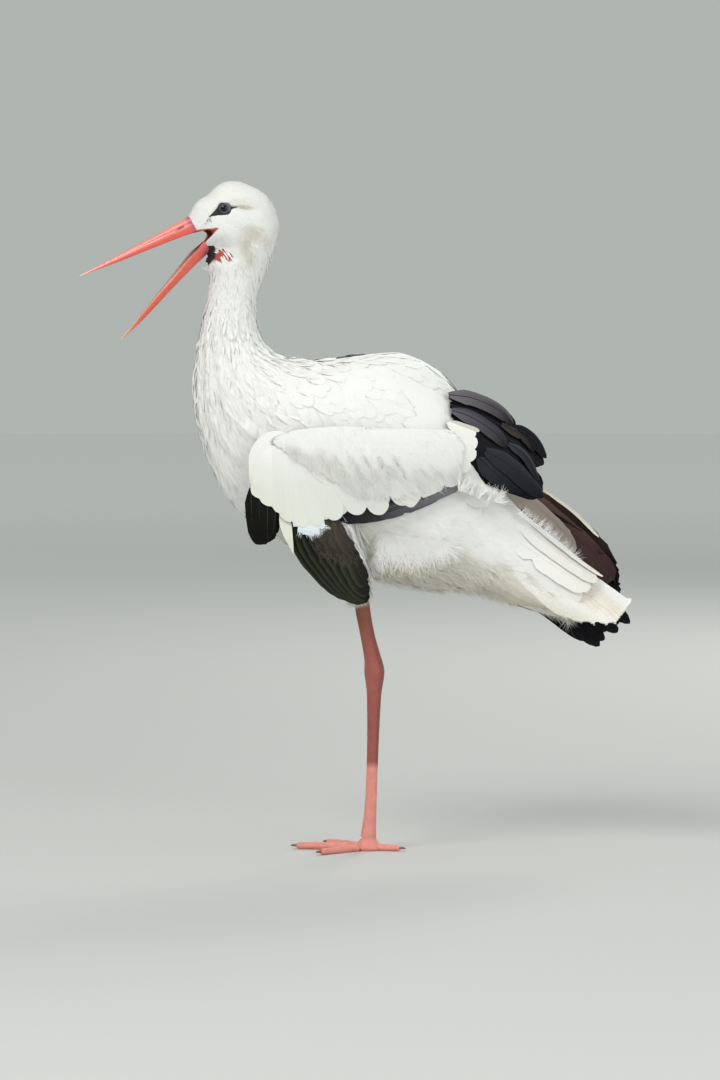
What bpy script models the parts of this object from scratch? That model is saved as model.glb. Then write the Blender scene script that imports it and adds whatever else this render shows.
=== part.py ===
"""White stork, life size, standing on its left leg with the right one tucked up.

The bill is open, the left wing hangs from its shoulder with its short primaries below the
belly, and the right wing is folded. The bird faces -X and its left side is -Y. The origin is
on the floor under the sole of the standing foot. Everything is in metres, +Z up.
"""

import math

import bmesh
import bpy
import numpy as np
from mathutils import Vector
from mathutils.bvhtree import BVHTree

# ---- Driving dimensions ----

GAP = 0.0004  # clear space between pieces that meet
LAY_GAP = 0.0012  # clear space under a wing piece that lies on the body
MANTLE_GAP = 0.0026  # the same, under the pads of feathers on the back
LEFT, RIGHT = -1.0, 1.0  # the side of the midplane that a piece is on, as the sign of Y

AROUND = 22  # points round the head, neck and trunk
EYE_RADIUS = 0.0088
EYE_AT = (-0.1965, 0.0215, 0.8475)  # before the head turns; Y is the distance from the midplane
GAPE = (-0.2065, 0.8225)  # corner of the mouth, in X and Z
HEAD_TURN = math.radians(8)  # the face turns this far to its left
TURN_AXIS_X = -0.175

# Colours, as linear red, green and blue.
WHITE = (0.86, 0.85, 0.80)
BLACK = (0.018, 0.018, 0.022)
BROWN = (0.11, 0.075, 0.055)
RED = (0.76, 0.12, 0.07)
LEG_RED = (0.62, 0.11, 0.08)
HORN = (0.16, 0.08, 0.06)
EYE_DARK = (0.02, 0.02, 0.025)

# Each station of the body is a section across it: the X and Z of its underside, the X and Z
# of its back, its half width, and how much of the head's turn it takes.
HEAD = [
    (-0.223, 0.800, -0.243, 0.837, 0.0130, 1),
    (-0.217, 0.794, -0.231, 0.858, 0.0190, 1),
    (-0.213, 0.790, -0.212, 0.875, 0.0250, 1),
    (-0.210, 0.787, -0.185, 0.885, 0.0300, 1),
    (-0.209, 0.783, -0.154, 0.878, 0.0330, 1),
    (-0.210, 0.777, -0.132, 0.857, 0.0345, 0.9),
    (-0.213, 0.769, -0.122, 0.828, 0.0345, 0.8),
    (-0.214, 0.761, -0.127, 0.798, 0.0330, 0.65),
]
NECK = [
    (-0.215, 0.748, -0.139, 0.766, 0.0305, 0.5),
    (-0.219, 0.723, -0.151, 0.732, 0.0285, 0.35),
    (-0.225, 0.694, -0.152, 0.702, 0.0300, 0.2),
    (-0.231, 0.661, -0.144, 0.676, 0.0350, 0.1),
    (-0.236, 0.626, -0.130, 0.660, 0.0440, 0),
]
TRUNK = [
    (-0.235, 0.590, -0.106, 0.653, 0.0550, 0),
    (-0.227, 0.552, -0.079, 0.650, 0.0660, 0),
    (-0.212, 0.508, -0.045, 0.648, 0.0750, 0),
    (-0.187, 0.462, -0.007, 0.646, 0.0800, 0),
    (-0.143, 0.424, 0.036, 0.646, 0.0820, 0),
    (-0.088, 0.393, 0.074, 0.629, 0.0800, 0),
    (-0.029, 0.369, 0.104, 0.598, 0.0750, 0),
    (0.034, 0.353, 0.129, 0.555, 0.0670, 0),
    (0.077, 0.348, 0.154, 0.509, 0.0570, 0),
    (0.119, 0.345, 0.180, 0.468, 0.0460, 0),
]
STEPS = 2  # rings to each station of the body
EGG = 0.22  # how much narrower the underside of the trunk is than its back

# Tail: its ridge runs from the tail base to its tip, and its sides hang down like a roof.
TAIL_RIDGE = ((0.1805, 0.4672), (0.262, 0.3960), (0.347, 0.333))
TAIL_HALF_WIDTH = (0.0455, 0.0480, 0.0500, 0.0500, 0.0420)
TAIL_DROOP = (0.0700, 0.0740, 0.0780, 0.0750, 0.0460)  # how far the sides hang below the ridge
TAIL_BELLY = (0.0660, 0.0480, 0.0340, 0.0200, 0.0)  # how far it is filled below its sides
TAIL_END = 0.0034  # thickness at the tip

# Each leg is one path cut into the feathered thigh, the bare shank and the tarsus. A station is
# X, Y, Z, half the depth seen from the side, and half the width seen from the front. The last
# station of a piece and the first of the next are at one place.
LEG_LEFT = {
    "thigh": [
        (-0.0720, -0.0460, 0.5000, 0.0300, 0.0200),
        (-0.0520, -0.0530, 0.4550, 0.0360, 0.0240),
        (-0.0340, -0.0570, 0.4080, 0.0260, 0.0200),
        (-0.0220, -0.0550, 0.3740, 0.0170, 0.0150),
        (-0.0160, -0.0520, 0.3500, 0.0120, 0.0112),
    ],
    "shank": [
        (-0.0160, -0.0520, 0.3500, 0.0100, 0.0094),
        (-0.0115, -0.0455, 0.3180, 0.0094, 0.0088),
        (-0.0050, -0.0370, 0.2840, 0.0092, 0.0088),
        (0.0012, -0.0305, 0.2560, 0.0112, 0.0114),
    ],
    "tarsus": [
        (0.0012, -0.0305, 0.2560, 0.0112, 0.0114),
        (0.0030, -0.0270, 0.2400, 0.0132, 0.0128),
        (0.0030, -0.0240, 0.2230, 0.0110, 0.0112),
        (0.0025, -0.0210, 0.2040, 0.0090, 0.0092),
        (0.0010, -0.0150, 0.1400, 0.0073, 0.0070),
        (-0.0010, -0.0070, 0.0760, 0.0073, 0.0070),
        (-0.0030, -0.0020, 0.0400, 0.0084, 0.0082),
        (-0.0050, 0.0000, 0.0168, 0.0104, 0.0104),
    ],
}
LEG_RIGHT = {
    "thigh": [
        (-0.0620, 0.0500, 0.4760, 0.0280, 0.0220),
        (-0.0150, 0.0600, 0.4600, 0.0270, 0.0230),
        (0.0250, 0.0700, 0.4370, 0.0180, 0.0170),
        (0.0550, 0.0730, 0.4210, 0.0120, 0.0112),
    ],
    "shank": [
        (0.0550, 0.0730, 0.4210, 0.0098, 0.0094),
        (0.0930, 0.0700, 0.4010, 0.0092, 0.0088),
        (0.1340, 0.0640, 0.3820, 0.0092, 0.0088),
        (0.1570, 0.0610, 0.3730, 0.0112, 0.0112),
    ],
    "tarsus": [
        (0.1570, 0.0610, 0.3730, 0.0112, 0.0112),
        (0.1690, 0.0600, 0.3630, 0.0128, 0.0124),
        (0.1650, 0.0610, 0.3510, 0.0112, 0.0112),
        (0.1460, 0.0630, 0.3515, 0.0090, 0.0090),
        (0.0880, 0.0690, 0.3720, 0.0072, 0.0070),
        (0.0220, 0.0730, 0.4010, 0.0072, 0.0070),
        (-0.0140, 0.0740, 0.4170, 0.0082, 0.0080),
        (-0.0310, 0.0740, 0.4250, 0.0098, 0.0098),
    ],
}
# Sole and instep of the foot: height, centre X, and half its length and width.
FOOT_HUB = [
    (0.0000, -0.0050, 0.0138, 0.0130),
    (0.0030, -0.0050, 0.0165, 0.0155),
    (0.0080, -0.0050, 0.0150, 0.0142),
    (0.0146, -0.0050, 0.0104, 0.0104),
]
# Toes: name, heading from straight ahead in degrees, length, and width. A heading is
# positive towards the bird's other leg.
TOES = [
    ("middle", 6, 0.074, 0.0112),
    ("inner", 42, 0.052, 0.0104),
    ("outer", -38, 0.058, 0.0104),
    ("hind", 196, 0.022, 0.0096),
]
TOE_ROOT = 0.0185  # from the middle of the foot to a toe's root
CLAW_LENGTH = 0.011
# The raised foot's toes: how far each one starts below the line of the leg, how far it
# spreads to the side, and how far it curls, in degrees.
HANGING = {"middle": (14, 2, 105), "inner": (42, 40, 85), "outer": (42, -34, 85), "hind": (128, 0, -35)}


# ---- Curves and closed shapes ----


def smooth(stations, steps):
    """Rows on a Catmull-Rom curve through the stations, steps to each gap, ends included."""
    p = np.array(stations, float)
    p = np.vstack([2 * p[0] - p[1], p, 2 * p[-1] - p[-2]])
    rows = []
    for a, b, c, d in zip(p, p[1:], p[2:], p[3:]):
        for t in np.arange(steps) / steps:
            square = (2 * a - 5 * b + 4 * c - d) * t**2
            cube = (3 * b - a - 3 * c + d) * t**3
            rows.append(0.5 * (2 * b + (c - a) * t + square + cube))
    return np.array(rows + [p[-2]])


def between(values, t):
    """The value at t, from 0 to 1, along evenly spaced values, on a smooth curve."""
    rows = smooth(np.array(values, float).reshape(len(values), -1), 16)
    at = t * (len(rows) - 1)
    low = min(int(at), len(rows) - 2)
    row = rows[low] + (rows[low + 1] - rows[low]) * (at - low)
    return row if len(row) > 1 else float(row[0])


def material(name, colour, roughness=0.6):
    made = bpy.data.materials.get(name) or bpy.data.materials.new(name)
    made.use_nodes = True
    shader = made.node_tree.nodes["Principled BSDF"]
    shader.inputs["Base Color"].default_value = (*colour, 1.0)
    shader.inputs["Roughness"].default_value = roughness
    made.diffuse_color = (*colour, 1.0)
    return made


def piece(name, mesh, colour, roughness=0.6):
    """Puts a mesh in the stork's collection as one named object, facing out and shaded smooth."""
    bm = bmesh.new()
    bm.from_mesh(mesh)
    bmesh.ops.recalc_face_normals(bm, faces=bm.faces)
    if bm.calc_volume(signed=True) < 0:
        bmesh.ops.reverse_faces(bm, faces=bm.faces)
    bm.to_mesh(mesh)
    bm.free()
    mesh.shade_smooth()
    mesh.set_sharp_from_angle(angle=math.radians(40))
    mesh.materials.clear()
    mesh.materials.append(material(f"{name}_colour", colour, roughness))
    obj = bpy.data.objects.new(name, mesh)
    stork.objects.link(obj)
    return obj


def loft(name, rings, colour, roughness=0.6):
    """A closed solid through rings of equally many points, with a flat cap on each end."""
    rings = [list(map(tuple, ring)) for ring in rings]
    around = len(rings[0])
    corners = [point for ring in rings for point in ring]
    faces = [tuple(range(around)), tuple(reversed(range(len(corners) - around, len(corners))))]
    for i in range(len(rings) - 1):
        for j in range(around):
            k = (j + 1) % around
            a, b = i * around, (i + 1) * around
            faces.append((a + k, a + j, b + j, b + k))
    mesh = bpy.data.meshes.new(name)
    mesh.from_pydata(corners, [], faces)
    return piece(name, mesh, colour, roughness)


# ---- Head, neck and trunk, one smooth body cut across into three ----


def body_ring(row):
    """Points round one section of the body, from the middle of its back by its left side."""
    under, back = np.array((row[0], 0, row[1])), np.array((row[2], 0, row[3]))
    half_width, turn = row[4], row[5] * HEAD_TURN
    egg = EGG * min(1.0, half_width / max(stage[4] for stage in TRUNK))
    centre, up = (under + back) / 2, (back - under) / 2
    ring = []
    for a in np.arange(AROUND) * math.tau / AROUND:
        point = centre + up * math.cos(a)
        point[1] = -half_width * math.sin(a) * (1 + egg * math.cos(a))
        ring.append(turned(point, turn))
    return np.array(ring)


def turned(point, angle):
    """A point moved round the head's vertical axis, so that the face goes to its left."""
    x, y, z = point
    c, s = math.cos(angle), math.sin(angle)
    dx = x - TURN_AXIS_X
    return np.array((TURN_AXIS_X + dx * c - y * s, dx * s + y * c, z))


def body_rings():
    """All the rings of the body, and where the neck and the trunk start among them."""
    rows = smooth(HEAD + NECK + TRUNK, STEPS)
    rings = [body_ring(row) for row in rows]
    return rings, len(HEAD) * STEPS, (len(HEAD) + len(NECK)) * STEPS


def pulled_back(rings):
    """The rings with the last one drawn towards the one before, to leave a gap after it."""
    last, before = np.array(rings[-1]), np.array(rings[-2])
    step = before - last
    share = GAP / np.linalg.norm(step, axis=1).min()
    return [*rings[:-1], last + step * share]


def cut(obj, cutter):
    """Takes the cutter away from the object for good, and removes the cutter."""
    modifier = obj.modifiers.new("cut", "BOOLEAN")
    modifier.operation = "DIFFERENCE"
    modifier.solver = "EXACT"
    modifier.object = cutter
    bpy.context.view_layer.update()
    graph = bpy.context.evaluated_depsgraph_get()
    mesh = bpy.data.meshes.new_from_object(obj.evaluated_get(graph))
    obj.modifiers.clear()
    obj.data = mesh
    bpy.data.objects.remove(cutter)


def eye_place(side, angle=HEAD_TURN):
    x, y, z = EYE_AT
    return turned((x, side * y, z), angle)


def ball(name, centre, radius, colour):
    bpy.ops.mesh.primitive_uv_sphere_add(segments=14, ring_count=8, radius=radius)
    made = bpy.context.active_object
    mesh = made.data
    mesh.transform(made.matrix_world)
    bpy.data.objects.remove(made)
    obj = piece(name, mesh, colour, 0.1)
    obj.rotation_euler.x = math.radians(90)
    obj.location = centre
    return obj


def mouth_wedge():
    """The open mouth as a cutter: a wedge from the corner of the mouth out past the face."""
    reach, half = 0.06, 0.06
    upper, lower = math.radians(13.5), math.radians(48)
    corner = (GAPE[0], GAPE[1])
    section = [
        corner,
        (corner[0] - reach * math.cos(upper), corner[1] - reach * math.sin(upper)),
        (corner[0] - reach * math.cos(lower), corner[1] - reach * math.sin(lower)),
    ]
    rings = [[turned((x, y, z), HEAD_TURN) for x, z in section] for y in (-half, half)]
    return loft("mouth_cutter", rings, RED)


def make_head(rings):
    head = loft("head", pulled_back(rings), WHITE)
    cut(head, mouth_wedge())
    for side in (LEFT, RIGHT):
        cut(head, ball("socket_cutter", eye_place(side), EYE_RADIUS + GAP, WHITE))
    head.data.materials.clear()
    head.data.materials.append(material("head_colour", WHITE))
    ball("eye_left", eye_place(LEFT), EYE_RADIUS, EYE_DARK)
    ball("eye_right", eye_place(RIGHT), EYE_RADIUS, EYE_DARK)


# ---- Bill ----

# Stations of each half of the bill: the X and Z of its upper edge, those of its lower edge,
# and its half width.
UPPER_BILL = [
    (-0.2437, 0.8368, -0.2330, 0.8170, 0.0124),
    (-0.2620, 0.8268, -0.2540, 0.8100, 0.0116),
    (-0.2950, 0.8090, -0.2900, 0.7960, 0.0098),
    (-0.3330, 0.7885, -0.3300, 0.7800, 0.0068),
    (-0.3650, 0.7712, -0.3640, 0.7672, 0.0036),
    (-0.3845, 0.7606, -0.3845, 0.7594, 0.0008),
]
LOWER_BILL = [
    (-0.2255, 0.8015, -0.2168, 0.7890, 0.0124),
    (-0.2420, 0.7862, -0.2335, 0.7730, 0.0118),
    (-0.2700, 0.7515, -0.2618, 0.7445, 0.0096),
    (-0.2980, 0.7170, -0.2918, 0.7126, 0.0068),
    (-0.3180, 0.6925, -0.3146, 0.6901, 0.0040),
    (-0.3315, 0.6770, -0.3306, 0.6763, 0.0010),
]
BILL_AROUND = 12


def make_upper_bill():
    """Solid, ridged above and flatter below."""
    rings = []
    for upper_x, upper_z, lower_x, lower_z, half in smooth(UPPER_BILL, 2):
        top, bottom = np.array((upper_x, 0, upper_z)), np.array((lower_x, 0, lower_z))
        ring = []
        for a in np.arange(BILL_AROUND) * math.tau / BILL_AROUND:
            point = (top + bottom) / 2 + (top - bottom) / 2 * math.cos(a)
            point[1] = half * math.sin(a) * (1 - 0.35 * math.cos(a))
            ring.append(turned(point, HEAD_TURN))
        rings.append(ring)
    loft("bill_upper", rings, RED, 0.35)


def make_lower_bill():
    """A trough, open above."""
    rings = []
    rows = smooth(LOWER_BILL, 2)
    for i, (upper_x, upper_z, lower_x, lower_z, half) in enumerate(rows):
        top, bottom = np.array((upper_x, 0, upper_z)), np.array((lower_x, 0, lower_z))
        depth = 0.45 * math.sin(math.pi * min(1.0, i / (len(rows) - 1) + 0.12)) ** 0.5
        outer = np.linspace(-90, 90, BILL_AROUND // 2 + 1)
        inner = outer[1:-1][::-1]
        ring = []
        for share, angles in ((1.0, outer), (depth, inner)):
            width = half if share == 1.0 else half * 0.72
            for a in np.radians(angles):
                point = top + (bottom - top) * share * math.cos(a)
                point[1] = width * math.sin(a)
                ring.append(turned(point, HEAD_TURN))
        rings.append(ring)
    loft("bill_lower", rings, RED, 0.35)


# ---- Tail ----


def make_tail():
    """Full below at its base, where the under tail coverts fill it, and a bent sheet at its tip."""
    (x0, z0), (x2, z2) = TAIL_RIDGE[0], TAIL_RIDGE[2]
    length = math.hypot(x2 - x0, z2 - z0)
    down = np.array(((z2 - z0) / length, 0, -(x2 - x0) / length))
    base = np.array((TRUNK[-1][0] - TRUNK[-1][2], 0, TRUNK[-1][1] - TRUNK[-1][3]))
    base /= np.linalg.norm(base)
    half_turn = np.linspace(-90, 90, 11)
    rings = []
    for t in np.linspace(0, 1, 9):
        ridge_x, ridge_z = between(TAIL_RIDGE, t)
        width, droop = between(TAIL_HALF_WIDTH, t), between(TAIL_DROOP, t)
        belly = max(0.0, between(TAIL_BELLY, t))
        sheet = t**2.5
        hang = base * (1 - t) + down * t
        ring = []
        for a in np.radians(half_turn):
            fall = droop * (1 - math.cos(a))
            ring.append((fall, width * math.sin(a)))
        for a in np.radians(half_turn[1:-1][::-1]):
            full = droop + belly * math.cos(a)
            thin = droop * (1 - math.cos(a)) + TAIL_END + 0.010 * (1 - t)
            ring.append((full * (1 - sheet) + max(thin, 0) * sheet, width * 0.94 * math.sin(a)))
        ridge = np.array((ridge_x, 0, ridge_z))
        rings.append([ridge + hang * fall + (0, y, 0) for fall, y in ring])
    shift = (rings[1][0] - rings[0][0]) / np.linalg.norm(rings[1][0] - rings[0][0]) * GAP
    rings[0] = [point + shift for point in rings[0]]
    return loft("tail", rings, WHITE)


# ---- Legs and feet ----


def make_toe(label, name, length, width, place, across):
    """A toe and its claw. place gives the middle line at a distance from the foot's centre,
    with the direction there, and across is level and square to the toe."""

    def ring(reach, half_width, half_height, around):
        centre, ahead = place(reach)
        above = np.cross(across, ahead)
        points = []
        for a in np.arange(around) * math.tau / around:
            point = centre + across * half_width * math.sin(a) + above * half_height * math.cos(a)
            points.append((point[0], point[1], max(point[2], 0.0)))
        return points

    rings = []
    for t in np.linspace(0, 1, 7):
        knuckle = 1 + 0.10 * math.cos(t * math.tau * 2.5)
        half = width / 2 * (1 - 0.28 * t) * knuckle
        rings.append(ring(TOE_ROOT + length * t, half, half * 0.95, 8))
    toe = loft(f"toe_{label}_{name}", rings, LEG_RED, 0.45)
    claw = []
    start = TOE_ROOT + length + GAP
    for t in np.linspace(0, 1, 4):
        half = width * 0.27 * (1 - 0.8 * t)
        claw.append(ring(start + CLAW_LENGTH * t, half, half * 0.9, 6))
    loft(f"claw_{label}_{name}", claw, HORN, 0.35)
    return toe


def make_standing_foot():
    """Its toes lie along the floor, with flat undersides."""
    rings = []
    for z, x, half_length, half_width in FOOT_HUB:
        angles = np.arange(14) * math.tau / 14
        rings.append([(x + half_length * math.cos(a), half_width * math.sin(a), z) for a in angles])
    loft("foot_left", rings, LEG_RED, 0.45)
    for name, heading, length, width in TOES:
        angle = math.radians(heading)
        ahead = np.array((-math.cos(angle), math.sin(angle), 0.0))
        centre = np.array((FOOT_HUB[0][1], 0.0, width * 0.42))
        across = np.array((ahead[1], -ahead[0], 0.0))
        make_toe("left", name, length, width, lambda r, c=centre, d=ahead: (c + d * r, d), across)


def make_tucked_foot():
    """Its toes hang together, half closed, beside the belly."""
    end, before = (np.array(station[:3]) for station in LEG_RIGHT["tarsus"][:-3:-1])
    line = (end - before) / np.linalg.norm(end - before)
    slope = math.atan2(line[2], -line[0])
    made = []
    for name, _, length, width in TOES:
        drop, spread, curl = HANGING[name]
        spread = math.radians(spread)

        def heading_at(reach):
            return slope - math.radians(drop + curl * (reach - TOE_ROOT) / length)

        def direction(reach):
            a = heading_at(reach)
            return np.array(
                (-math.cos(a) * math.cos(spread), -math.sin(spread), math.sin(a) * math.cos(spread))
            )

        def place(reach):
            centre = end + direction(TOE_ROOT) * TOE_ROOT * 0.85
            count = 12
            for k in range(count):
                step = (reach - TOE_ROOT) / count
                centre = centre + direction(TOE_ROOT + step * (k + 0.5)) * step
            return centre, direction(reach)

        across = np.cross((math.sin(slope), 0.0, math.cos(slope)), direction(TOE_ROOT))
        across /= np.linalg.norm(across)
        made.append(make_toe("right", name, length * 0.85, width * 0.9, place, across))
    return made


def make_leg(side, leg, trunk):
    """The pieces of a leg. The thigh is cut to the shape of the flank that it lies on."""
    steps, around = 2, 12
    path = [station[:3] for stations in leg.values() for station in stations[1:]]
    path = smooth([next(iter(leg.values()))[0][:3], *path], steps)
    tangents = np.gradient(path, axis=0)
    tangents /= np.linalg.norm(tangents, axis=1)[:, None]
    made = []
    start = 0
    for name, stations in leg.items():
        widths = smooth([station[3:] for station in stations], steps)
        rings = []
        for i, (depth, width) in enumerate(widths):
            centre, tangent = path[start + i], tangents[start + i]
            across = np.array((0.0, 1.0, 0.0)) - tangent * tangent[1]
            across /= np.linalg.norm(across)
            fore = np.cross(across, tangent)
            angles = np.arange(around) * math.tau / around
            rings.append(
                [centre + fore * depth * math.cos(a) + across * width * math.sin(a) for a in angles]
            )
        start += len(widths) - 1
        feathered = name == "thigh"
        rings = pulled_back(np.array(rings))
        label = "left" if side == LEFT else "right"
        colour = WHITE if feathered else LEG_RED
        made.append(loft(f"{name}_{label}", rings, colour, 0.7 if feathered else 0.45))
    cut(made[0], swollen(trunk, GAP * 2))
    return made


def swollen(obj, distance):
    """A copy of an object, larger by a distance all round, to cut another piece with."""
    mesh = obj.data.copy()
    moves = [vertex.normal * distance for vertex in mesh.vertices]
    for vertex, move in zip(mesh.vertices, moves):
        vertex.co += move
    copy = bpy.data.objects.new(f"{obj.name}_cutter", mesh)
    stork.objects.link(copy)
    return copy


# ---- Wings ----


def surface_under(objects):
    """A tree of the faces of these objects, to lay a wing piece on."""
    corners, faces = [], []
    for obj in objects:
        start = len(corners)
        corners += [obj.matrix_world @ vertex.co for vertex in obj.data.vertices]
        faces += [[start + i for i in polygon.vertices] for polygon in obj.data.polygons]
    return BVHTree.FromPolygons(corners, faces)


def lifted(heights):
    """Each height raised to the highest of its neighbours, and then eased, never lowered."""
    padded = np.pad(heights, 1, mode="edge")
    rows, columns = heights.shape
    near = [padded[i : i + rows, j : j + columns] for i in range(3) for j in range(3)]
    highest = np.max(near, axis=0)
    eased = highest.copy()
    for _ in range(3):
        padded = np.pad(eased, 1, mode="edge")
        near = [padded[i : i + rows, j : j + columns] for i in range(3) for j in range(3)]
        eased = np.maximum(np.mean(near, axis=0), highest)
    return eased


def laid_slab(name, side, upper, lower, out, thickness, under, colour, grid=(12, 6)):
    """A wing piece that lies on what is under it. upper and lower are its edges in X and Z,
    from root to tip, out is its least distance from the midplane along each edge, and
    thickness is the most, met at the upper third."""
    tree = surface_under(under)
    count, rows = grid
    places = np.zeros((count, rows, 2))
    least = np.zeros((count, rows))
    thick = np.zeros((count, rows))
    for i, u in enumerate(np.linspace(0, 1, count)):
        top, bottom = between(upper, u), between(lower, u)
        out_top, out_bottom = between(out[0], u), between(out[1], u)
        for j, v in enumerate(np.linspace(0, 1, rows) ** 1.15):
            places[i, j] = top + (bottom - top) * v
            least[i, j] = out_top + (out_bottom - out_top) * v
            along = min(1.0, 5 * u + 0.15, 5 * (1 - u) + 0.12)
            across = math.sin(math.pi * min(1.0, v**0.6 * 0.97 + 0.03)) ** 0.7
            thick[i, j] = 0.0011 + thickness * along * max(0.0, across)
    heights = least.copy()
    for i, j in np.ndindex(count, rows):
        x, z = places[i, j]
        hit = tree.ray_cast(Vector((x, side * 0.5, z)), Vector((0, -side, 0)))[0]
        if hit is not None:
            heights[i, j] = max(least[i, j], side * hit.y + LAY_GAP)
    heights = lifted(heights)
    x, z = places[:, :, 0], places[:, :, 1]
    inner = np.stack((x, side * heights, z), axis=-1).reshape(-1, 3)
    outer = np.stack((x, side * (heights + thick), z), axis=-1).reshape(-1, 3)
    return plate(name, inner, outer, count, rows, colour)


def plate(name, inner, outer, count, rows, colour):
    """A closed plate between two grids of count by rows points."""
    corners = [tuple(map(float, point)) for point in [*inner, *outer]]
    start = count * rows
    faces = []
    for i in range(count - 1):
        for j in range(rows - 1):
            a, b = i * rows + j, (i + 1) * rows + j
            faces.append((a, a + 1, b + 1, b))
            faces.append((start + b, start + b + 1, start + a + 1, start + a))
    rim = [i * rows for i in range(count)]
    rim += [(count - 1) * rows + j for j in range(1, rows)]
    rim += [i * rows + rows - 1 for i in range(count - 2, -1, -1)]
    rim += [j for j in range(rows - 2, 0, -1)]
    for a, b in zip(rim, rim[1:] + rim[:1]):
        faces.append((a, b, start + b, start + a))
    mesh = bpy.data.meshes.new(name)
    mesh.from_pydata(corners, [], faces)
    return piece(name, mesh, colour, 0.7)


def make_mantle(name, side, rings, first, last, thickness):
    """Scapulars and upper wing, a pad on the trunk from the back's middle down its side."""
    rows = rings[first : last + 1]
    reach = 7  # points round the trunk that it covers, out of half of AROUND
    inner, outer = [], []
    for i, ring in enumerate(rows):
        u = i / (len(rows) - 1)
        middle = ring.mean(axis=0)
        for j in range(reach):
            v = j / (reach - 1)
            place = j * (0.95 - 0.28 * u) + 0.12
            low = int(place)
            index = [low, low + 1] if side == LEFT else [-low, -low - 1]
            point = ring[index[0]] + (ring[index[1]] - ring[index[0]]) * (place - low)
            away = point - middle
            away /= np.linalg.norm(away)
            along = math.sin(math.pi * min(1.0, 0.06 + 0.80 * u)) ** 0.45
            across = min(1.0, 0.35 + 1.4 * v) * math.cos(math.pi / 2 * v**3 * 0.94)
            start = point + away * MANTLE_GAP
            inner.append(start)
            outer.append(start + away * (0.0012 + thickness * along * across))
    return plate(name, inner, outer, len(rows), reach, WHITE)


# Edges of the wing pieces in X and Z, each from root to tip, evenly spread along it.
TERTIALS_LEFT = (
    [(0.098, 0.616), (0.135, 0.607), (0.172, 0.587), (0.204, 0.558), (0.228, 0.522)],
    [(0.112, 0.520), (0.139, 0.500), (0.168, 0.488), (0.200, 0.478), (0.226, 0.470)],
)
SECONDARIES_LEFT = (
    [(-0.040, 0.500), (0.010, 0.505), (0.055, 0.520), (0.105, 0.535)],
    [(-0.052, 0.438), (0.004, 0.443), (0.056, 0.457), (0.115, 0.482)],
)
PRIMARIES_LEFT = (
    [(-0.046, 0.450), (-0.030, 0.419), (-0.015, 0.392), (-0.004, 0.364), (0.008, 0.341)],
    [(-0.110, 0.448), (-0.099, 0.408), (-0.079, 0.379), (-0.053, 0.353), (-0.018, 0.333)],
)
ALULA_LEFT = (
    [(-0.122, 0.478), (-0.120, 0.452), (-0.123, 0.432), (-0.127, 0.413)],
    [(-0.160, 0.486), (-0.160, 0.456), (-0.156, 0.428), (-0.146, 0.411)],
)
COVERTS_LEFT = (
    [(-0.162, 0.512), (-0.152, 0.545), (-0.124, 0.562), (-0.032, 0.573), (0.059, 0.569),
     (0.104, 0.565), (0.138, 0.544)],
    [(-0.162, 0.486), (-0.145, 0.468), (-0.112, 0.440), (-0.075, 0.427), (-0.028, 0.453),
     (0.060, 0.477), (0.139, 0.520)],
)
TERTIALS_RIGHT = (
    [(0.100, 0.600), (0.140, 0.586), (0.180, 0.560), (0.214, 0.522)],
    [(0.100, 0.510), (0.135, 0.492), (0.172, 0.478), (0.212, 0.466)],
)
SECONDARIES_RIGHT = (
    [(0.060, 0.520), (0.145, 0.488), (0.224, 0.466), (0.285, 0.421), (0.326, 0.365)],
    [(0.060, 0.430), (0.140, 0.398), (0.215, 0.370), (0.280, 0.345), (0.332, 0.330)],
)
PRIMARIES_RIGHT = (
    [(0.030, 0.450), (0.125, 0.420), (0.215, 0.385), (0.290, 0.345), (0.347, 0.300)],
    [(0.020, 0.420), (0.105, 0.385), (0.185, 0.347), (0.250, 0.304), (0.297, 0.262)],
)
COVERTS_RIGHT = (
    [(-0.180, 0.500), (-0.160, 0.545), (-0.110, 0.566), (-0.030, 0.572), (0.050, 0.566),
     (0.112, 0.545)],
    [(-0.180, 0.486), (-0.135, 0.458), (-0.080, 0.444), (-0.010, 0.432), (0.050, 0.434),
     (0.104, 0.470)],
)


# The wing pieces in the order they are laid on the body: side, edges, least distances from the
# midplane along the upper and the lower edge, thickness, colour, and the grid of its surface.
LAYERS = [
    ("tertials_left", LEFT, TERTIALS_LEFT, ([0.022, 0.020, 0.016], [0.060, 0.054, 0.040]),
     0.007, BLACK, (12, 6)),
    ("secondaries_left", LEFT, SECONDARIES_LEFT, ([0.070, 0.060], [0.070, 0.060]),
     0.002, BLACK, (10, 4)),
    ("primaries_left", LEFT, PRIMARIES_LEFT, ([0.078, 0.079, 0.074], [0.084, 0.083, 0.076]),
     0.007, BLACK, (12, 5)),
    ("alula_left", LEFT, ALULA_LEFT, ([0.082, 0.080, 0.076], [0.082, 0.080, 0.076]),
     0.005, BLACK, (8, 4)),
    ("coverts_left", LEFT, COVERTS_LEFT, ([0.080, 0.070], [0.082, 0.066]),
     0.016, WHITE, (20, 8)),
    ("tertials_right", RIGHT, TERTIALS_RIGHT, ([0.024, 0.020], [0.064, 0.056]),
     0.006, BLACK, (9, 6)),
    ("primaries_right", RIGHT, PRIMARIES_RIGHT, ([0.070, 0.056, 0.044], [0.074, 0.060, 0.050]),
     0.005, BLACK, (12, 6)),
    ("secondaries_right", RIGHT, SECONDARIES_RIGHT, ([0.060, 0.050, 0.036], [0.066, 0.060, 0.048]),
     0.005, BROWN, (12, 6)),
    ("coverts_right", RIGHT, COVERTS_RIGHT, ([0.078, 0.066], [0.078, 0.070]),
     0.014, WHITE, (18, 8)),
]


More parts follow.
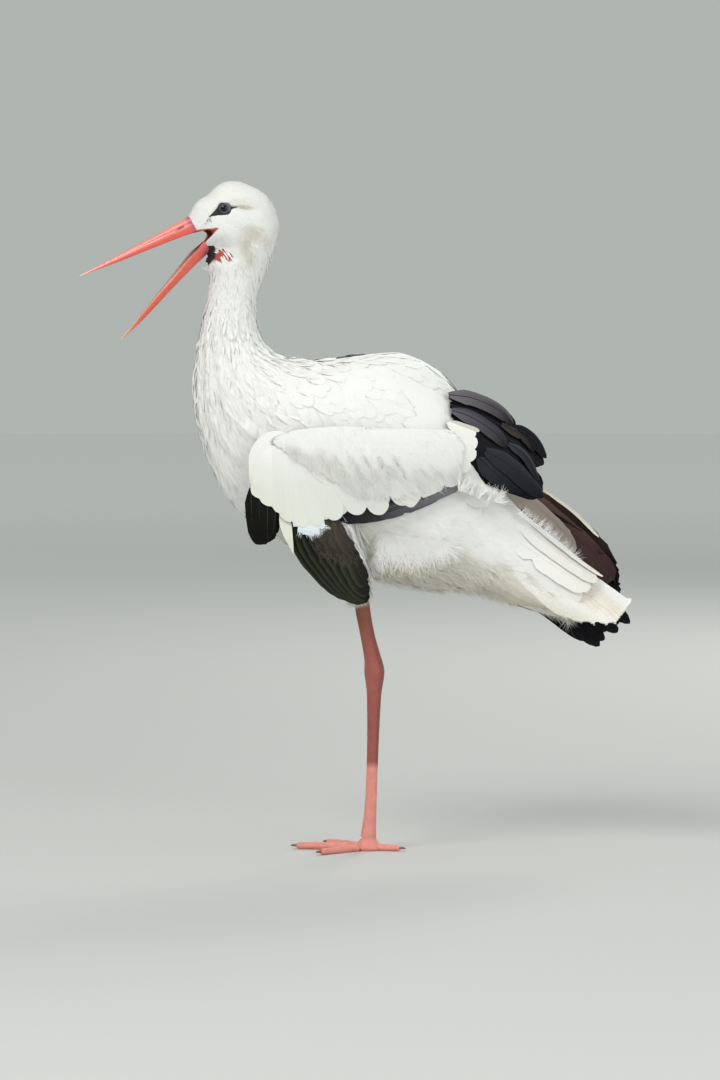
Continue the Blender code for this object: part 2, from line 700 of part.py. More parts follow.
def make_wings(rings, trunk_start, body):
    first, last = trunk_start + 3, trunk_start + 15
    mantles = [
        make_mantle("mantle_left", LEFT, rings, first, last, 0.011),
        make_mantle("mantle_right", RIGHT, rings, first, last, 0.010),
    ]
    ground = [*body, *mantles]

    def lay(name, side, edges, out, thickness, colour, grid):
        made = laid_slab(name, side, *edges, out, thickness, ground, colour, grid)
        ground.append(made)

    for name, side, edges, out, thickness, colour, grid in LAYERS:
        lay(name, side, edges, out, thickness, colour, grid)


# ---- The whole stork ----

def build():
    rings, neck_start, trunk_start = body_rings()
    make_head(rings[: neck_start + 1])
    loft("neck", pulled_back(rings[neck_start : trunk_start + 1]), WHITE, 0.7)
    trunk = loft("trunk", rings[trunk_start:], WHITE, 0.7)
    tail = make_tail()
    make_upper_bill()
    make_lower_bill()
    legs = make_leg(LEFT, LEG_LEFT, trunk) + make_leg(RIGHT, LEG_RIGHT, trunk)
    make_standing_foot()
    toes = make_tucked_foot()
    make_wings(rings, trunk_start, [trunk, tail, *legs, *toes])


for leftover in list(bpy.data.objects):
    bpy.data.objects.remove(leftover)
stork = bpy.data.collections.new("white_stork")
bpy.context.scene.collection.children.link(stork)
build()
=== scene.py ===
"""A white stork's skin, plumage, bill, eyes and legs, laid over its solids.

The bird faces -X, its left side is -Y, and everything is in metres, +Z up.
"""

import math

import bmesh
import bpy
import numpy as np
from mathutils import Matrix, Vector
from mathutils.bvhtree import BVHTree


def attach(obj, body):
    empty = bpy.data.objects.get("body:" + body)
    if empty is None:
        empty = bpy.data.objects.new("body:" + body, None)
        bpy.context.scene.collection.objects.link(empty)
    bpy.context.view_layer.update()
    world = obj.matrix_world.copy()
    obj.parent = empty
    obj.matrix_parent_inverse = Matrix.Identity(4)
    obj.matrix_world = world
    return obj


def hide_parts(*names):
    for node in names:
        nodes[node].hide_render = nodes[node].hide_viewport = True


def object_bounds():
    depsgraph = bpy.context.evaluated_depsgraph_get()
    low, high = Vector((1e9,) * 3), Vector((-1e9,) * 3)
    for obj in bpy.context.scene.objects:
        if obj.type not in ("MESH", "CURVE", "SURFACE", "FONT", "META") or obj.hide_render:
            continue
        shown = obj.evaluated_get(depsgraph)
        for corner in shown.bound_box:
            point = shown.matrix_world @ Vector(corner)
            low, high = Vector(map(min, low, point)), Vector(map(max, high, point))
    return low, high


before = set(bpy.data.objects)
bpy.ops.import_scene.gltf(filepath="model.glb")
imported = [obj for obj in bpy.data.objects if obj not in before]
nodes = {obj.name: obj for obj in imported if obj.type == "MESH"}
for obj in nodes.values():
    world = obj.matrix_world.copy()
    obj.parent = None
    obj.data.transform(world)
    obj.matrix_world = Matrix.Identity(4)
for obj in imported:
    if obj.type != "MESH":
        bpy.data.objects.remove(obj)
solids_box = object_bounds()
rng = np.random.default_rng(11)
LEFT, RIGHT = -1.0, 1.0
SIDES = (("left", LEFT), ("right", RIGHT))

# ---- Colours, as linear red, green and blue ----

SNOW = (0.87, 0.865, 0.84)
CREAM = (0.80, 0.755, 0.64)
RUST = (0.62, 0.42, 0.20)
SOOT = (0.0055, 0.0055, 0.0075)
SLATE = (0.022, 0.022, 0.030)
UMBER = (0.085, 0.055, 0.042)
SKIN_BLACK = (0.012, 0.013, 0.018)
BELLY_SHADE = (0.56, 0.54, 0.43)
# Painted shade, grey, for the shaded lower cheek.
CHEEK_PAINTED_SHADE = (0.50, 0.52, 0.46)
# Painted shade, olive, for the face's hollows round the eye and behind the cheek.
OLIVE_PAINTED_SHADE = (0.46, 0.43, 0.325)
TAIL_STAIN = (0.66, 0.50, 0.28)
NAPE_PINK = (0.62, 0.50, 0.44)
LIP_RED = (0.72, 0.16, 0.14)
CHIN_WHITE = (0.80, 0.79, 0.70)
GULAR_RED = (0.48, 0.085, 0.065)
MOUTH_RED = (0.20, 0.022, 0.016)

# ---- Sections of the body, which repeat those of the solids ----
# X and Z of the underside, X and Z of the back, half width, share of the head's turn.

HEAD_TURN = math.radians(8)
TURN_AXIS_X = -0.175
EGG = 0.22  # how much more than an ellipse a section widens toward the back
WIDEST = 0.082  # the largest half width
SECTIONS = [
    (-0.223, 0.800, -0.243, 0.837, 0.0130, 1),
    (-0.217, 0.794, -0.231, 0.858, 0.0190, 1),
    (-0.213, 0.790, -0.212, 0.875, 0.0250, 1),
    (-0.210, 0.787, -0.185, 0.885, 0.0300, 1),
    (-0.209, 0.783, -0.154, 0.878, 0.0330, 1),
    (-0.210, 0.777, -0.132, 0.857, 0.0345, 0.9),
    (-0.213, 0.769, -0.122, 0.828, 0.0345, 0.8),
    (-0.214, 0.761, -0.127, 0.798, 0.0330, 0.65),
    (-0.215, 0.748, -0.139, 0.766, 0.0305, 0.5),
    (-0.219, 0.723, -0.151, 0.732, 0.0285, 0.35),
    (-0.225, 0.694, -0.152, 0.702, 0.0300, 0.2),
    (-0.231, 0.661, -0.144, 0.676, 0.0350, 0.1),
    (-0.236, 0.626, -0.130, 0.660, 0.0440, 0),
    (-0.235, 0.590, -0.106, 0.653, 0.0550, 0),
    (-0.227, 0.552, -0.079, 0.650, 0.0660, 0),
    (-0.212, 0.508, -0.045, 0.648, 0.0750, 0),
    (-0.187, 0.462, -0.007, 0.646, 0.0800, 0),
    (-0.143, 0.424, 0.036, 0.646, 0.0820, 0),
    (-0.088, 0.393, 0.074, 0.629, 0.0800, 0),
    (-0.029, 0.369, 0.104, 0.598, 0.0750, 0),
    (0.034, 0.353, 0.129, 0.555, 0.0670, 0),
    (0.077, 0.348, 0.154, 0.509, 0.0570, 0),
    (0.119, 0.345, 0.180, 0.468, 0.0460, 0),
    (0.168, 0.336, 0.222, 0.430, 0.0440, 0),
    (0.214, 0.322, 0.264, 0.394, 0.0440, 0),
    (0.258, 0.307, 0.306, 0.364, 0.0420, 0),
]
LAST = len(SECTIONS) - 1.0
FINE = 16  # rows of a smooth curve to each of its stations


def smooth(stations, steps):
    """Rows on a Catmull-Rom curve through the stations, steps to each gap, ends included."""
    p = np.array(stations, float)
    p = np.vstack([2 * p[0] - p[1], p, 2 * p[-1] - p[-2]])
    rows = []
    t = (np.arange(steps) / steps)[:, None]
    for a, b, c, d in zip(p, p[1:], p[2:], p[3:]):
        square = (2 * a - 5 * b + 4 * c - d) * t**2
        cube = (3 * b - a - 3 * c + d) * t**3
        rows.append(0.5 * (2 * b + (c - a) * t + square + cube))
    return np.vstack([*rows, p[-2:-1]])


def between(rows, at):
    """Values read at places between the rows of a table."""
    low = np.minimum(at.astype(int), len(rows) - 2)
    return rows[low] + (rows[low + 1] - rows[low]) * (at - low)[..., None]


def along(stations, t):
    """Points at t, an array from 0 to 1, on a smooth curve through the stations."""
    rows = smooth(np.array(stations, float).reshape(len(stations), -1), FINE)
    return between(rows, np.clip(np.asarray(t, float), 0, 1) * (len(rows) - 1))


TABLE = smooth(SECTIONS, FINE)


def section_at(s):
    return between(TABLE, np.clip(s, 0, LAST) * FINE)


def turned(x, y, z, angle):
    """Points moved round the head's vertical axis, so that the face goes to its left."""
    c, s = np.cos(angle), np.sin(angle)
    dx = x - TURN_AXIS_X
    return np.stack((TURN_AXIS_X + dx * c - y * s, dx * s + y * c, z), axis=-1)


def turn_head(points, angle=HEAD_TURN):
    return turned(*np.moveaxis(points, -1, 0), angle)


def straight(s, a):
    """The body's surface before the head turns, at section s and angle a round from the back."""
    row = section_at(s)
    cx, cz = (row[..., 0] + row[..., 2]) / 2, (row[..., 1] + row[..., 3]) / 2
    ux, uz = (row[..., 2] - row[..., 0]) / 2, (row[..., 3] - row[..., 1]) / 2
    half = row[..., 4]
    egg = EGG * np.minimum(1.0, half / WIDEST)
    y = -half * np.sin(a) * (1 + egg * np.cos(a))
    return cx + ux * np.cos(a), y, cz + uz * np.cos(a)


def body(s, a):
    x, y, z = straight(s, a)
    return turned(x, y, z, section_at(s)[..., 5] * HEAD_TURN)


def unit(v):
    return v / np.maximum(np.linalg.norm(v, axis=-1, keepdims=True), 1e-12)


def body_surface(s, a):
    """Points on the body's surface with the smooth normals there."""
    points = body(s, a)
    ds = body(s + 0.02, a) - body(s - 0.02, a)
    da = body(s, a + 0.02) - body(s, a - 0.02)
    return points, unit(np.cross(da, ds))


def ramp(x, low, high):
    """Rises smoothly from 0 at low to 1 at high, or falls if low is above high."""
    t = np.clip((np.asarray(x, float) - low) / (high - low), 0, 1)
    return t * t * (3 - 2 * t)


def bump(x, y, cx, cy, rx, ry):
    return np.exp(-(((x - cx) / rx) ** 2 + ((y - cy) / ry) ** 2))


def mix(a, b, t):
    t = np.asarray(t, float)[..., None]
    return np.asarray(a, float) * (1 - t) + np.asarray(b, float) * t


def layered(colour, *layers):
    """A colour with others mixed over it, each given with its share."""
    for over, share in layers:
        colour = mix(colour, over, share)
    return colour


def side_angle(a):
    """Angle from the back, 0 to pi, the same on both sides."""
    return np.arccos(np.clip(np.cos(a), -1, 1))


def crease(x, z):
    """The shaded hollow behind and below the cheek."""
    rear = bump(x, z, -0.163, 0.8190, 0.0170, 0.0085)
    below = bump(x, z, -0.176, 0.8020, 0.0115, 0.0100)
    return np.minimum(1.15 * rear + 0.95 * below, 1)


def relief(s, a):
    """How far the coat's form stands out from the plain sections, in metres."""
    x, _, z = straight(s, a)
    b = side_angle(a)
    side = np.abs(np.sin(a))
    head = ramp(s, 8.5, 6.5)
    cheek = 0.0042 * bump(x, z, -0.201, 0.809, 0.017, 0.014) * ramp(z, 0.7950, 0.8010)
    furrow = -0.0036 * crease(x, z)
    jowl = 0.0020 * bump(x, z, -0.150, 0.796, 0.016, 0.010)
    brow = 0.0016 * bump(x, z, -0.190, 0.858, 0.016, 0.0035)
    socket = -0.0022 * bump(x, z, -0.200, 0.8460, 0.0125, 0.0085)
    streak = 0.0011 * np.sin(b * 17 + np.sin(s * 1.7) * 1.4) + 0.0009 * np.sin(b * 31 + 2 * np.sin(s * 2.9))
    streak = streak * ramp(s, 8.5, 11) * ramp(s, 17, 15)
    lumps = 0.0020 * np.sin(s * 2.3 + 2 * np.sin(2 * a)) * np.sin(a * 3 + s) * ramp(s, 17, 19)
    pouch = 0.0150 * ramp(b, 2.15, 2.95) * np.exp(-(((z - 0.7810) / 0.0130) ** 2))
    slope = -0.0042 * bump(x, z, -0.2195, 0.8700, 0.0140, 0.0105) + pouch
    slope = slope - 0.0020 * bump(x, z, -0.1580, 0.8790, 0.0180, 0.0100)
    face = (cheek + furrow + jowl + brow + socket) * side**2 + slope
    return face * head + streak + lumps - 0.0004


def mantle_height(s, a):
    """The pad of scapulars over the back, kept level past its rear edge."""
    u = (s - 14.5) / 6.0
    b = side_angle(a)
    reach = (0.95 - 0.28 * np.clip(u, 0, 1)) * 6 + 0.12
    v = np.clip(b / (math.tau / 22 * reach), 0, 1)
    lengthways = np.sin(math.pi * np.clip(0.06 + 0.80 * np.clip(u, 0, 0.62), 0, 1)) ** 0.45
    across = np.minimum(1.0, 0.92 + 1.2 * v) * np.cos(math.pi / 2 * v**3 * 0.94)
    return (0.0032 + 0.0105 * lengthways * across) * ramp(u, -0.15, 0.30) * ramp(v, 1.0, 0.90)


# ---- Surfaces that feathers grow on ----


class Ground:
    """A grid of points with the nearest place on it, its smooth normal and its flow."""

    def __init__(self, points, outward, flow=None, place=None):
        rows, columns = points.shape[:2]
        along_rows = np.gradient(points, axis=0)
        along_columns = np.gradient(points, axis=1)
        normals = unit(np.cross(along_rows, along_columns))
        sign = np.sign(np.nansum(normals * outward))
        self.normals = (normals * sign).reshape(-1, 3)
        self.points = points.reshape(-1, 3)
        self.flow = None if flow is None else flow.reshape(-1, 3)
        self.place = None if place is None else place.reshape(-1, 2)
        i, j = np.meshgrid(np.arange(rows - 1), np.arange(columns - 1), indexing="ij")
        a = (i * columns + j).ravel()
        self.faces = np.stack((a, a + 1, a + columns + 1, a + columns), axis=-1)
        self.tree = BVHTree.FromPolygons(self.points.tolist(), self.faces.tolist())

    def nearest(self, points):
        """Foot points, their normals, and the grid corners with weights round each one."""
        found = [self.tree.find_nearest(Vector(p)) for p in points]
        foot = np.array([f[0][:] for f in found])
        corners = self.faces[[f[2] for f in found]]
        gap = np.linalg.norm(self.points[corners] - foot[:, None, :], axis=2)
        weight = 1 / (gap + 1e-5) ** 2
        weight /= weight.sum(axis=1, keepdims=True)
        normal = unit((self.normals[corners] * weight[..., None]).sum(axis=1))
        return foot, normal, corners, weight

    def grow(self, roots, length, count, heading=0.0, direction=None, steer=0.0):
        """Paths of count points over the ground. They follow the flow, turned by heading in
        radians, or keep to direction, and steer bends them as they go."""
        n = len(roots)
        length = np.broadcast_to(length, n)
        heading = np.broadcast_to(heading, n).astype(float)
        steer = np.broadcast_to(steer, n)
        paths, normals = np.zeros((n, count, 3)), np.zeros((n, count, 3))
        here = np.array(roots, float)
        for k in range(count):
            foot, normal, corners, weight = self.nearest(here)
            paths[:, k], normals[:, k] = foot, normal
            if direction is None:
                way = (self.flow[corners] * weight[..., None]).sum(axis=1)
            else:
                way = np.broadcast_to(direction, (n, 3)) if k == 0 else way
            way = unit(way - normal * (way * normal).sum(axis=1, keepdims=True))
            angle = (heading + steer * k / (count - 1) if direction is None else
                     (heading if k == 0 else steer / (count - 1)))
            side = np.cross(normal, way)
            step = way * np.cos(angle)[:, None] + side * np.sin(angle)[:, None]
            if direction is not None:
                way = step
            here = foot + step * (length / (count - 1))[:, None]
        return paths, normals


def body_ground(extra=None):
    s = np.linspace(0, LAST, int(LAST * 10) + 1)
    a = np.linspace(0, math.tau, 97)
    s, a = np.meshgrid(s, a, indexing="ij")
    points = body(s, a)
    row = section_at(s)
    ux, uz = row[..., 2] - row[..., 0], row[..., 3] - row[..., 1]
    angle = row[..., 5] * HEAD_TURN
    flow = np.stack((uz * np.cos(angle), uz * np.sin(angle), -ux), axis=-1)
    centre = points.mean(axis=1, keepdims=True)
    plain = Ground(points, points - centre)
    normals = plain.normals.reshape(points.shape)
    height = relief(s, a) + (0 if extra is None else extra(s, a))
    lifted = points + normals * height[..., None]
    return Ground(lifted, points - centre, unit(flow), np.stack((s, a), axis=-1))


BODY = body_ground()
MANTLE = body_ground(mantle_height)


# ---- Feathers, as joined meshes ----


PATCH_HALF, PATCH_LENGTH = 0.0014, 0.003  # each feather's size on the unwrap


def colour_points(mesh, colours):
    """Stores a colour at each point of a mesh, for its material to read."""
    tint = mesh.color_attributes.new("tint", "FLOAT_COLOR", "POINT")
    colours = np.hstack((colours, np.ones((len(colours), 1))))
    tint.data.foreach_set("color", colours.astype(np.float32).ravel())


def shown(name, mesh):
    obj = bpy.data.objects.new(name, mesh)
    bpy.context.scene.collection.objects.link(obj)
    return obj


class Coat:
    """Gathers feathers for one piece, and makes its mesh at the end. It may stand for some nodes."""

    def __init__(self, name, shown_for=(), slot="white_plumage"):
        self.name, self.slot, self.shown_for = name, slot, shown_for
        self.points, self.normals, self.tints = [], [], []
        self.vane, self.bake, self.quads = [], [], []
        self.count = 0

    def vanes(self, paths, normals, half_width, tint, shape="round", columns=5, camber=0.25,
              ragged=0.0, soft=0.5, sway=0.0, lift=0.0, notch=0.0, rim=None, place=None):
        """One feather to each path. half_width is in metres, tint is one colour or a pair for
        root and tip, lift is heights along each feather, and place is the root's spot on the
        unwrap."""
        n, rows = paths.shape[:2]
        normals = np.broadcast_to(normals, paths.shape)
        place = place_of(paths[:, 0]) if place is None else place
        paths = paths + normals * np.asarray(lift)[..., None]
        t, share = form_rows(shape, rows)
        paths, normals = respaced(paths, t), unit(respaced(normals, t))
        ahead = unit(np.gradient(paths, axis=1))
        across = unit(np.cross(normals, ahead))
        out = unit(np.cross(ahead, across))
        width = share[None, :] * np.broadcast_to(half_width, n)[:, None]
        u = np.linspace(-1, 1, columns)
        wide = width[:, :, None] * u
        noise = rng.normal(0, 1, (n, rows, columns))
        edge = np.abs(u) ** 3
        tipward = ramp(t, 0.5, 1)[None, :, None]
        cut = rng.uniform(0, 1, (n, rows, 2)) < notch * ramp(t, 0.1, 0.5)[None, :, None]
        cut = 1 - cut * rng.uniform(0.15, 0.5, (n, rows, 2))
        spread = wide * np.where(u < 0, cut[:, :, :1], cut[:, :, 1:])
        spread = spread * (1 + ragged * 0.35 * noise * edge)
        length = np.linalg.norm(paths[:, -1] - paths[:, 0], axis=1)[:, None, None]
        slide = ragged * 0.05 * length * noise * tipward
        rise = -camber * np.abs(u) ** 1.7 * width[:, :, None]
        tilt = np.broadcast_to(sway, n)[:, None, None] * wide
        points = (
            paths[:, :, None, :]
            + across[:, :, None, :] * spread[..., None]
            + out[:, :, None, :] * (rise + tilt)[..., None]
            + ahead[:, :, None, :] * slide[..., None]
        )
        slope = camber * 1.7 * np.sign(u) * np.abs(u) ** 0.7
        bent = unit(out[:, :, None, :] + across[:, :, None, :] * slope[None, None, :, None])
        level = unit(normals)[:, :, None, :]
        shade = unit(bent * (1 - soft) + level * soft)
        pair = tint if len(tint) == 2 and isinstance(tint, tuple) else (tint, tint)
        root, tip = (np.broadcast_to(c, (n, 3))[:, None, None, :] for c in pair)
        blend = t[None, :, None, None]
        colour = np.broadcast_to(root * (1 - blend) + tip * blend, points.shape)
        if rim is not None:
            edging, strength = rim
            near = (ramp(u * np.sign(strength), 0.25, 1.0) * abs(strength))[None, None, :, None]
            colour = colour * (1 - near) + np.array(edging) * near
        place = np.broadcast_to(place, (n, 2))[:, None, None, :]
        patch = np.stack(np.broadcast_arrays(u * PATCH_HALF, t[:, None] * PATCH_LENGTH), -1)
        vane = np.stack(np.broadcast_arrays((u + 1) / 2, t[:, None]), -1)
        self.add(points, shade, colour, place + patch, vane, rows, columns)

    def add(self, points, shade, colour, bake, vane, rows, columns):
        n = len(points)
        size = rows * columns
        k, j = np.meshgrid(np.arange(rows - 1), np.arange(columns - 1), indexing="ij")
        a = (k * columns + j).ravel()
        quads = np.stack((a, a + columns, a + columns + 1, a + 1), axis=-1)
        start = self.count + np.arange(n)[:, None, None] * size
        self.quads.append((quads[None] + start).reshape(-1, 4))
        self.points.append(points.reshape(-1, 3))
        self.normals.append(shade.reshape(-1, 3))
        self.tints.append(colour.reshape(-1, 3))
        self.bake.append(np.broadcast_to(bake, points.shape[:3] + (2,)).reshape(-1, 2))
        self.vane.append(np.broadcast_to(vane, points.shape[:3] + (2,)).reshape(-1, 2))
        self.count += n * size

    def make(self):
        points = np.clip(np.vstack(self.points), *solids_box)
        quads = np.vstack(self.quads)
        mesh = bpy.data.meshes.new(self.name)
        mesh.vertices.add(len(points))
        mesh.vertices.foreach_set("co", points.astype(np.float32).ravel())
        mesh.loops.add(quads.size)
        mesh.loops.foreach_set("vertex_index", quads.astype(np.int32).ravel())
        mesh.polygons.add(len(quads))
        mesh.polygons.foreach_set("loop_start", np.arange(0, quads.size, 4, dtype=np.int32))
        mesh.polygons.foreach_set("loop_total", np.full(len(quads), 4, np.int32))
        mesh.polygons.foreach_set("use_smooth", np.ones(len(quads), bool))
        corner = quads.ravel()
        for name, values in (("OFBake", self.bake), ("vane", self.vane)):
            layer = mesh.uv_layers.new(name=name)
            layer.uv.foreach_set("vector", np.vstack(values)[corner].astype(np.float32).ravel())
        colour_points(mesh, np.vstack(self.tints))
        mesh.update()
        mesh.validate()
        mesh.normals_split_custom_set_from_vertices(np.vstack(self.normals).astype(np.float32))
        mesh.materials.append(WHITE_VANE if self.slot == "white_plumage" else BLACK_VANE)
        obj = shown(self.name, mesh)
        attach(obj, "root")
        if self.shown_for:
            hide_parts(*self.shown_for)
        print(f"{self.name}: {2 * len(quads)} triangles")


def respaced(values, t):
    """Values along each path, read at shares t of its rows."""
    at = t * (values.shape[1] - 1)
    low = np.minimum(at.astype(int), values.shape[1] - 2)
    return values[:, low] + (values[:, low + 1] - values[:, low]) * (at - low)[None, :, None]


# For each form: width at the very root, share of the length that it widens over and the power it
# widens by, where it starts to narrow, the power of that, the least left at the tip, the power of
# the whole, and how much closer the rows lie toward the tip.
FORMS = {
    "round": (0, 0.4, 0.6, 0.55, 2, 0.0004, 0.5, 1.5),
    "blunt": (0, 0.3, 0.5, 0.78, 2.4, 0.0004, 0.5, 1.8),
    "point": (0, 0.4, 0.7, 0.3, 1.4, 0.01, 1, 1),
    "soft": (0, 0.35, 0.6, 0.35, 2.2, 0.02, 0.8, 1),
    "quill": (0.25, 0.25, 0.8, 0.82, 2.2, 0.0004, 0.5, 1.7),
    "blade": (0.3, 0.3, 0.8, 0.45, 2.6, 0.0004, 0.5, 1.6),
    "barb": (1, 1, 1, 0, 1, 0.05, 0.6, 1),
}


def form_rows(shape, rows):
    """Where a feather's rows lie along it, from 0 to 1, and their shares of its half width."""
    root, widening, root_power, full, tip_power, least, power, bunch = FORMS[shape]
    t = 1 - (1 - np.linspace(0, 1, rows)) ** bunch
    narrowed = 1 - np.clip((t - full) / (1 - full), 0, 1) ** tip_power
    return t, np.minimum(1, root + t / widening) ** root_power * np.clip(narrowed, least, 1) ** power


def unwrap(s, a):
    """Spots on the unwrap of the body's own shape, for places of section and angle."""
    return np.stack((0.01 + 0.97 * (a / math.tau) % 1.0, 0.01 + 0.97 * s / LAST), axis=-1)


def scatter(inside, spacing, tries):
    """Places of section and angle spread over the body, at least spacing(s, a) apart."""
    tries = tries
    s, a = rng.uniform(0, LAST, tries), rng.uniform(0, math.tau, tries)
    step = 1e-3
    area = np.linalg.norm(
        np.cross(body(s + step, a) - body(s - step, a), body(s, a + step) - body(s, a - step)),
        axis=1,
    )
    keep = inside(s, a)
    s, a, area = s[keep], a[keep], area[keep]
    apart = spacing(s, a)
    keep = rng.uniform(0, 1, len(s)) * (area / apart**2).max() < area / apart**2
    s, a, apart = s[keep], a[keep], apart[keep]
    points = body(s, a)
    cell = apart.max()
    keys = np.floor(points / cell).astype(int)
    held, chosen = {}, []
    for i in range(len(s)):
        x, y, z = keys[i]
        near = [
            j
            for dx in (-1, 0, 1)
            for dy in (-1, 0, 1)
            for dz in (-1, 0, 1)
            for j in held.get((x + dx, y + dy, z + dz), ())
        ]
        if near:
            gaps = ((points[near] - points[i]) ** 2).sum(axis=1)
            if gaps.min() < apart[i] ** 2:
                continue
        held.setdefault((x, y, z), []).append(i)
        chosen.append(i)
    return s[chosen], a[chosen]


# ---- Materials ----


def shader(name, roughness, **settings):
    made = bpy.data.materials.new(name)
    made.use_nodes = True
    node = made.node_tree.nodes["Principled BSDF"]
    node.inputs["Roughness"].default_value = roughness
    for key, value in settings.items():
        node.inputs[key.replace("_", " ")].default_value = value
    return made, made.node_tree, node


def link(tree, a, out, b, into):
    tree.links.new(a.outputs[out], b.inputs[into])


def math_node(tree, operation, *values):
    node = tree.nodes.new("ShaderNodeMath")
    node.operation = operation
    for i, value in enumerate(values):
        if isinstance(value, (int, float)):
            node.inputs[i].default_value = value
        else:
            tree.links.new(value, node.inputs[i])
    return node.outputs[0]


def noise_node(tree, scale, detail, where, out):
    """Cloudy noise over a place, read from an output of the node where."""
    noise = tree.nodes.new("ShaderNodeTexNoise")
    noise.inputs["Scale"].default_value = scale
    noise.inputs["Detail"].default_value = detail
    link(tree, where, out, noise, "Vector")
    return noise


def painted(tree, main, level):
    """The mesh's own colour, made brighter or darker by level."""
    tint = tree.nodes.new("ShaderNodeVertexColor")
    tint.layer_name = "tint"
    paint = tree.nodes.new("ShaderNodeVectorMath")
    paint.operation = "SCALE"
    link(tree, tint, "Color", paint, 0)
    tree.links.new(level, paint.inputs["Scale"])
    link(tree, paint, 0, main, "Base Color")


def bumpy(tree, main, height, strength, distance):
    bumps = tree.nodes.new("ShaderNodeBump")
    bumps.inputs["Strength"].default_value = strength
    bumps.inputs["Distance"].default_value = distance
    link(tree, height, 0, bumps, "Height")
    link(tree, bumps, 0, main, "Normal")


def placed(tree, stretch=None):
    """The place on the object, stretched if asked, and the name or number of its output."""
    where = tree.nodes.new("ShaderNodeTexCoord")
    if stretch is None:
        return where, "Object"
    drawn = tree.nodes.new("ShaderNodeMapping")
    drawn.inputs["Scale"].default_value = stretch
    link(tree, where, "Object", drawn, "Vector")
    return drawn, 0


def horn(name, roughness, scale, contrast, coat, depth, stretch=(1.0, 1.0, 1.0), specular=0.5):
    """Horn, skin or lens in its own colours, mottled and finely pitted."""
    made, tree, main = shader(
        name, roughness, Coat_Weight=coat, Coat_Roughness=0.12, Specular_IOR_Level=specular
    )
    noise = noise_node(tree, scale, 5.0, *placed(tree, stretch))
    painted(tree, main, math_node(tree, "MULTIPLY_ADD", noise.outputs[0], contrast * 2, 1.0 - contrast))
    bumpy(tree, main, noise, 0.4, depth)
    return made


def plumage(name, roughness, contrast, sheen, barb=70.0, specular=0.3):
    """Vanes with barbs that leave the shaft at a slant, in the feather's own colour."""
    made, tree, main = shader(
        name, roughness, Sheen_Weight=sheen, Sheen_Roughness=0.5, Specular_IOR_Level=specular
    )
    uv = tree.nodes.new("ShaderNodeUVMap")
    uv.uv_map = "vane"
    parts = tree.nodes.new("ShaderNodeSeparateXYZ")
    link(tree, uv, "UV", parts, 0)
    off = math_node(tree, "ABSOLUTE", math_node(tree, "SUBTRACT", parts.outputs[0], 0.5))
    slant = math_node(tree, "SUBTRACT", parts.outputs[1], math_node(tree, "MULTIPLY", off, 0.5))
    where, out = placed(tree)
    place = tree.nodes.new("ShaderNodeSeparateXYZ")
    link(tree, where, out, place, 0)
    joined = tree.nodes.new("ShaderNodeCombineXYZ")
    for k, (value, scale) in enumerate(((slant, barb), (off, 3.0), (place.outputs[0], 30.0))):
        tree.links.new(math_node(tree, "MULTIPLY", value, scale), joined.inputs[k])
    barbs = noise_node(tree, 1.0, 3.0, joined, 0)
    patchy = noise_node(tree, 28.0, 4.0, where, out)
    level = math_node(tree, "MULTIPLY_ADD", barbs.outputs[0], contrast, 1.0 - contrast * 0.75)
    level = math_node(tree, "MULTIPLY_ADD", patchy.outputs[0], contrast * 0.5, level)
    shaft = math_node(tree, "LESS_THAN", off, 0.03)
    level = math_node(tree, "MULTIPLY_ADD", shaft, contrast * 0.3, level)
    painted(tree, main, level)
    bumpy(tree, main, barbs, 0.35, 0.0006)
    return made


WHITE_VANE = plumage("white_vane", 0.75, 0.07, 0.25)
BLACK_VANE = plumage("black_vane", 0.46, 0.55, 0.0, 90.0, 0.12)


def toned(s, a):
    """Colour of the body's plumage, the same for the skin and the coat, with painted shade under the body and
    in the face's hollows.
    """
    x, _, z = straight(s, a)
    b = side_angle(a)
    warm = 0.75 * ramp(s, 16, 22) * ramp(b, 1.7, 2.8) + 0.3 * ramp(s, 21, 24) * ramp(b, 0.9, 2.2)
    head = ramp(s, 8.5, 7.5) * np.abs(np.sin(a)) ** 2
    # Painted shade in the face: the crease behind and below the cheek, a stripe behind the eye, a broad band
    # above it and a patch below the cheek.
    shade = 0.72 * crease(x, z) + bump(x, z, -0.1760, 0.8518, 0.0135, 0.0030)
    shade = shade + 0.30 * bump(x, z, -0.1780, 0.8590, 0.0180, 0.0060)
    shade = shade + 0.40 * bump(x, z, -0.168, 0.787, 0.009, 0.011)
    stain = ramp(s, 23.3, 24.4) * ramp(b, 0.55, 0.95) * ramp(b, 1.9, 1.4)
    return layered(
        np.broadcast_to(SNOW, s.shape + (3,)),
        (CREAM, np.clip(warm, 0, 1)),
        (BELLY_SHADE, 0.75 * ramp(s, 15.5, 17.5) * ramp(b, 1.75, 2.35)),
        # painted shade on the lower cheek
        (CHEEK_PAINTED_SHADE, 0.55 * head * bump(x, z, -0.2035, 0.8080, 0.0150, 0.0110)),
        (OLIVE_PAINTED_SHADE, np.clip(shade * head, 0, 1)),
        (TAIL_STAIN, 0.55 * stain * (0.6 + 0.4 * np.sin(x * 900 + z * 1300))),
        (NAPE_PINK, 0.45 * head * bump(x, z, -0.144, 0.809, 0.007, 0.007)),
    )


# ---- Face marks, in X and Z before the head turns ----

EYE = np.array((-0.1965, 0.0215, 0.8475))
EYE_RADIUS = 0.0088
GAPE = np.array((-0.2065, 0.8225))
LIPS_PART = 0.8165  # height between the upper and the lower lip
UPPER_TILT, LOWER_TILT = math.radians(13.5), math.radians(48)  # how the mouth's edges slope down


def taper(x, z, start, end, thick, thin, power):
    """Distance outside a line that narrows from thick to thin, in X and Z."""
    line = np.subtract(end, start)
    t = np.clip(((x - start[0]) * line[0] + (z - start[1]) * line[1]) / (line @ line), 0, 1)
    off = np.hypot(x - start[0] - line[0] * t, z - start[1] - line[1] * t)
    return off - (thin + (thick - thin) * (1 - t) ** power)


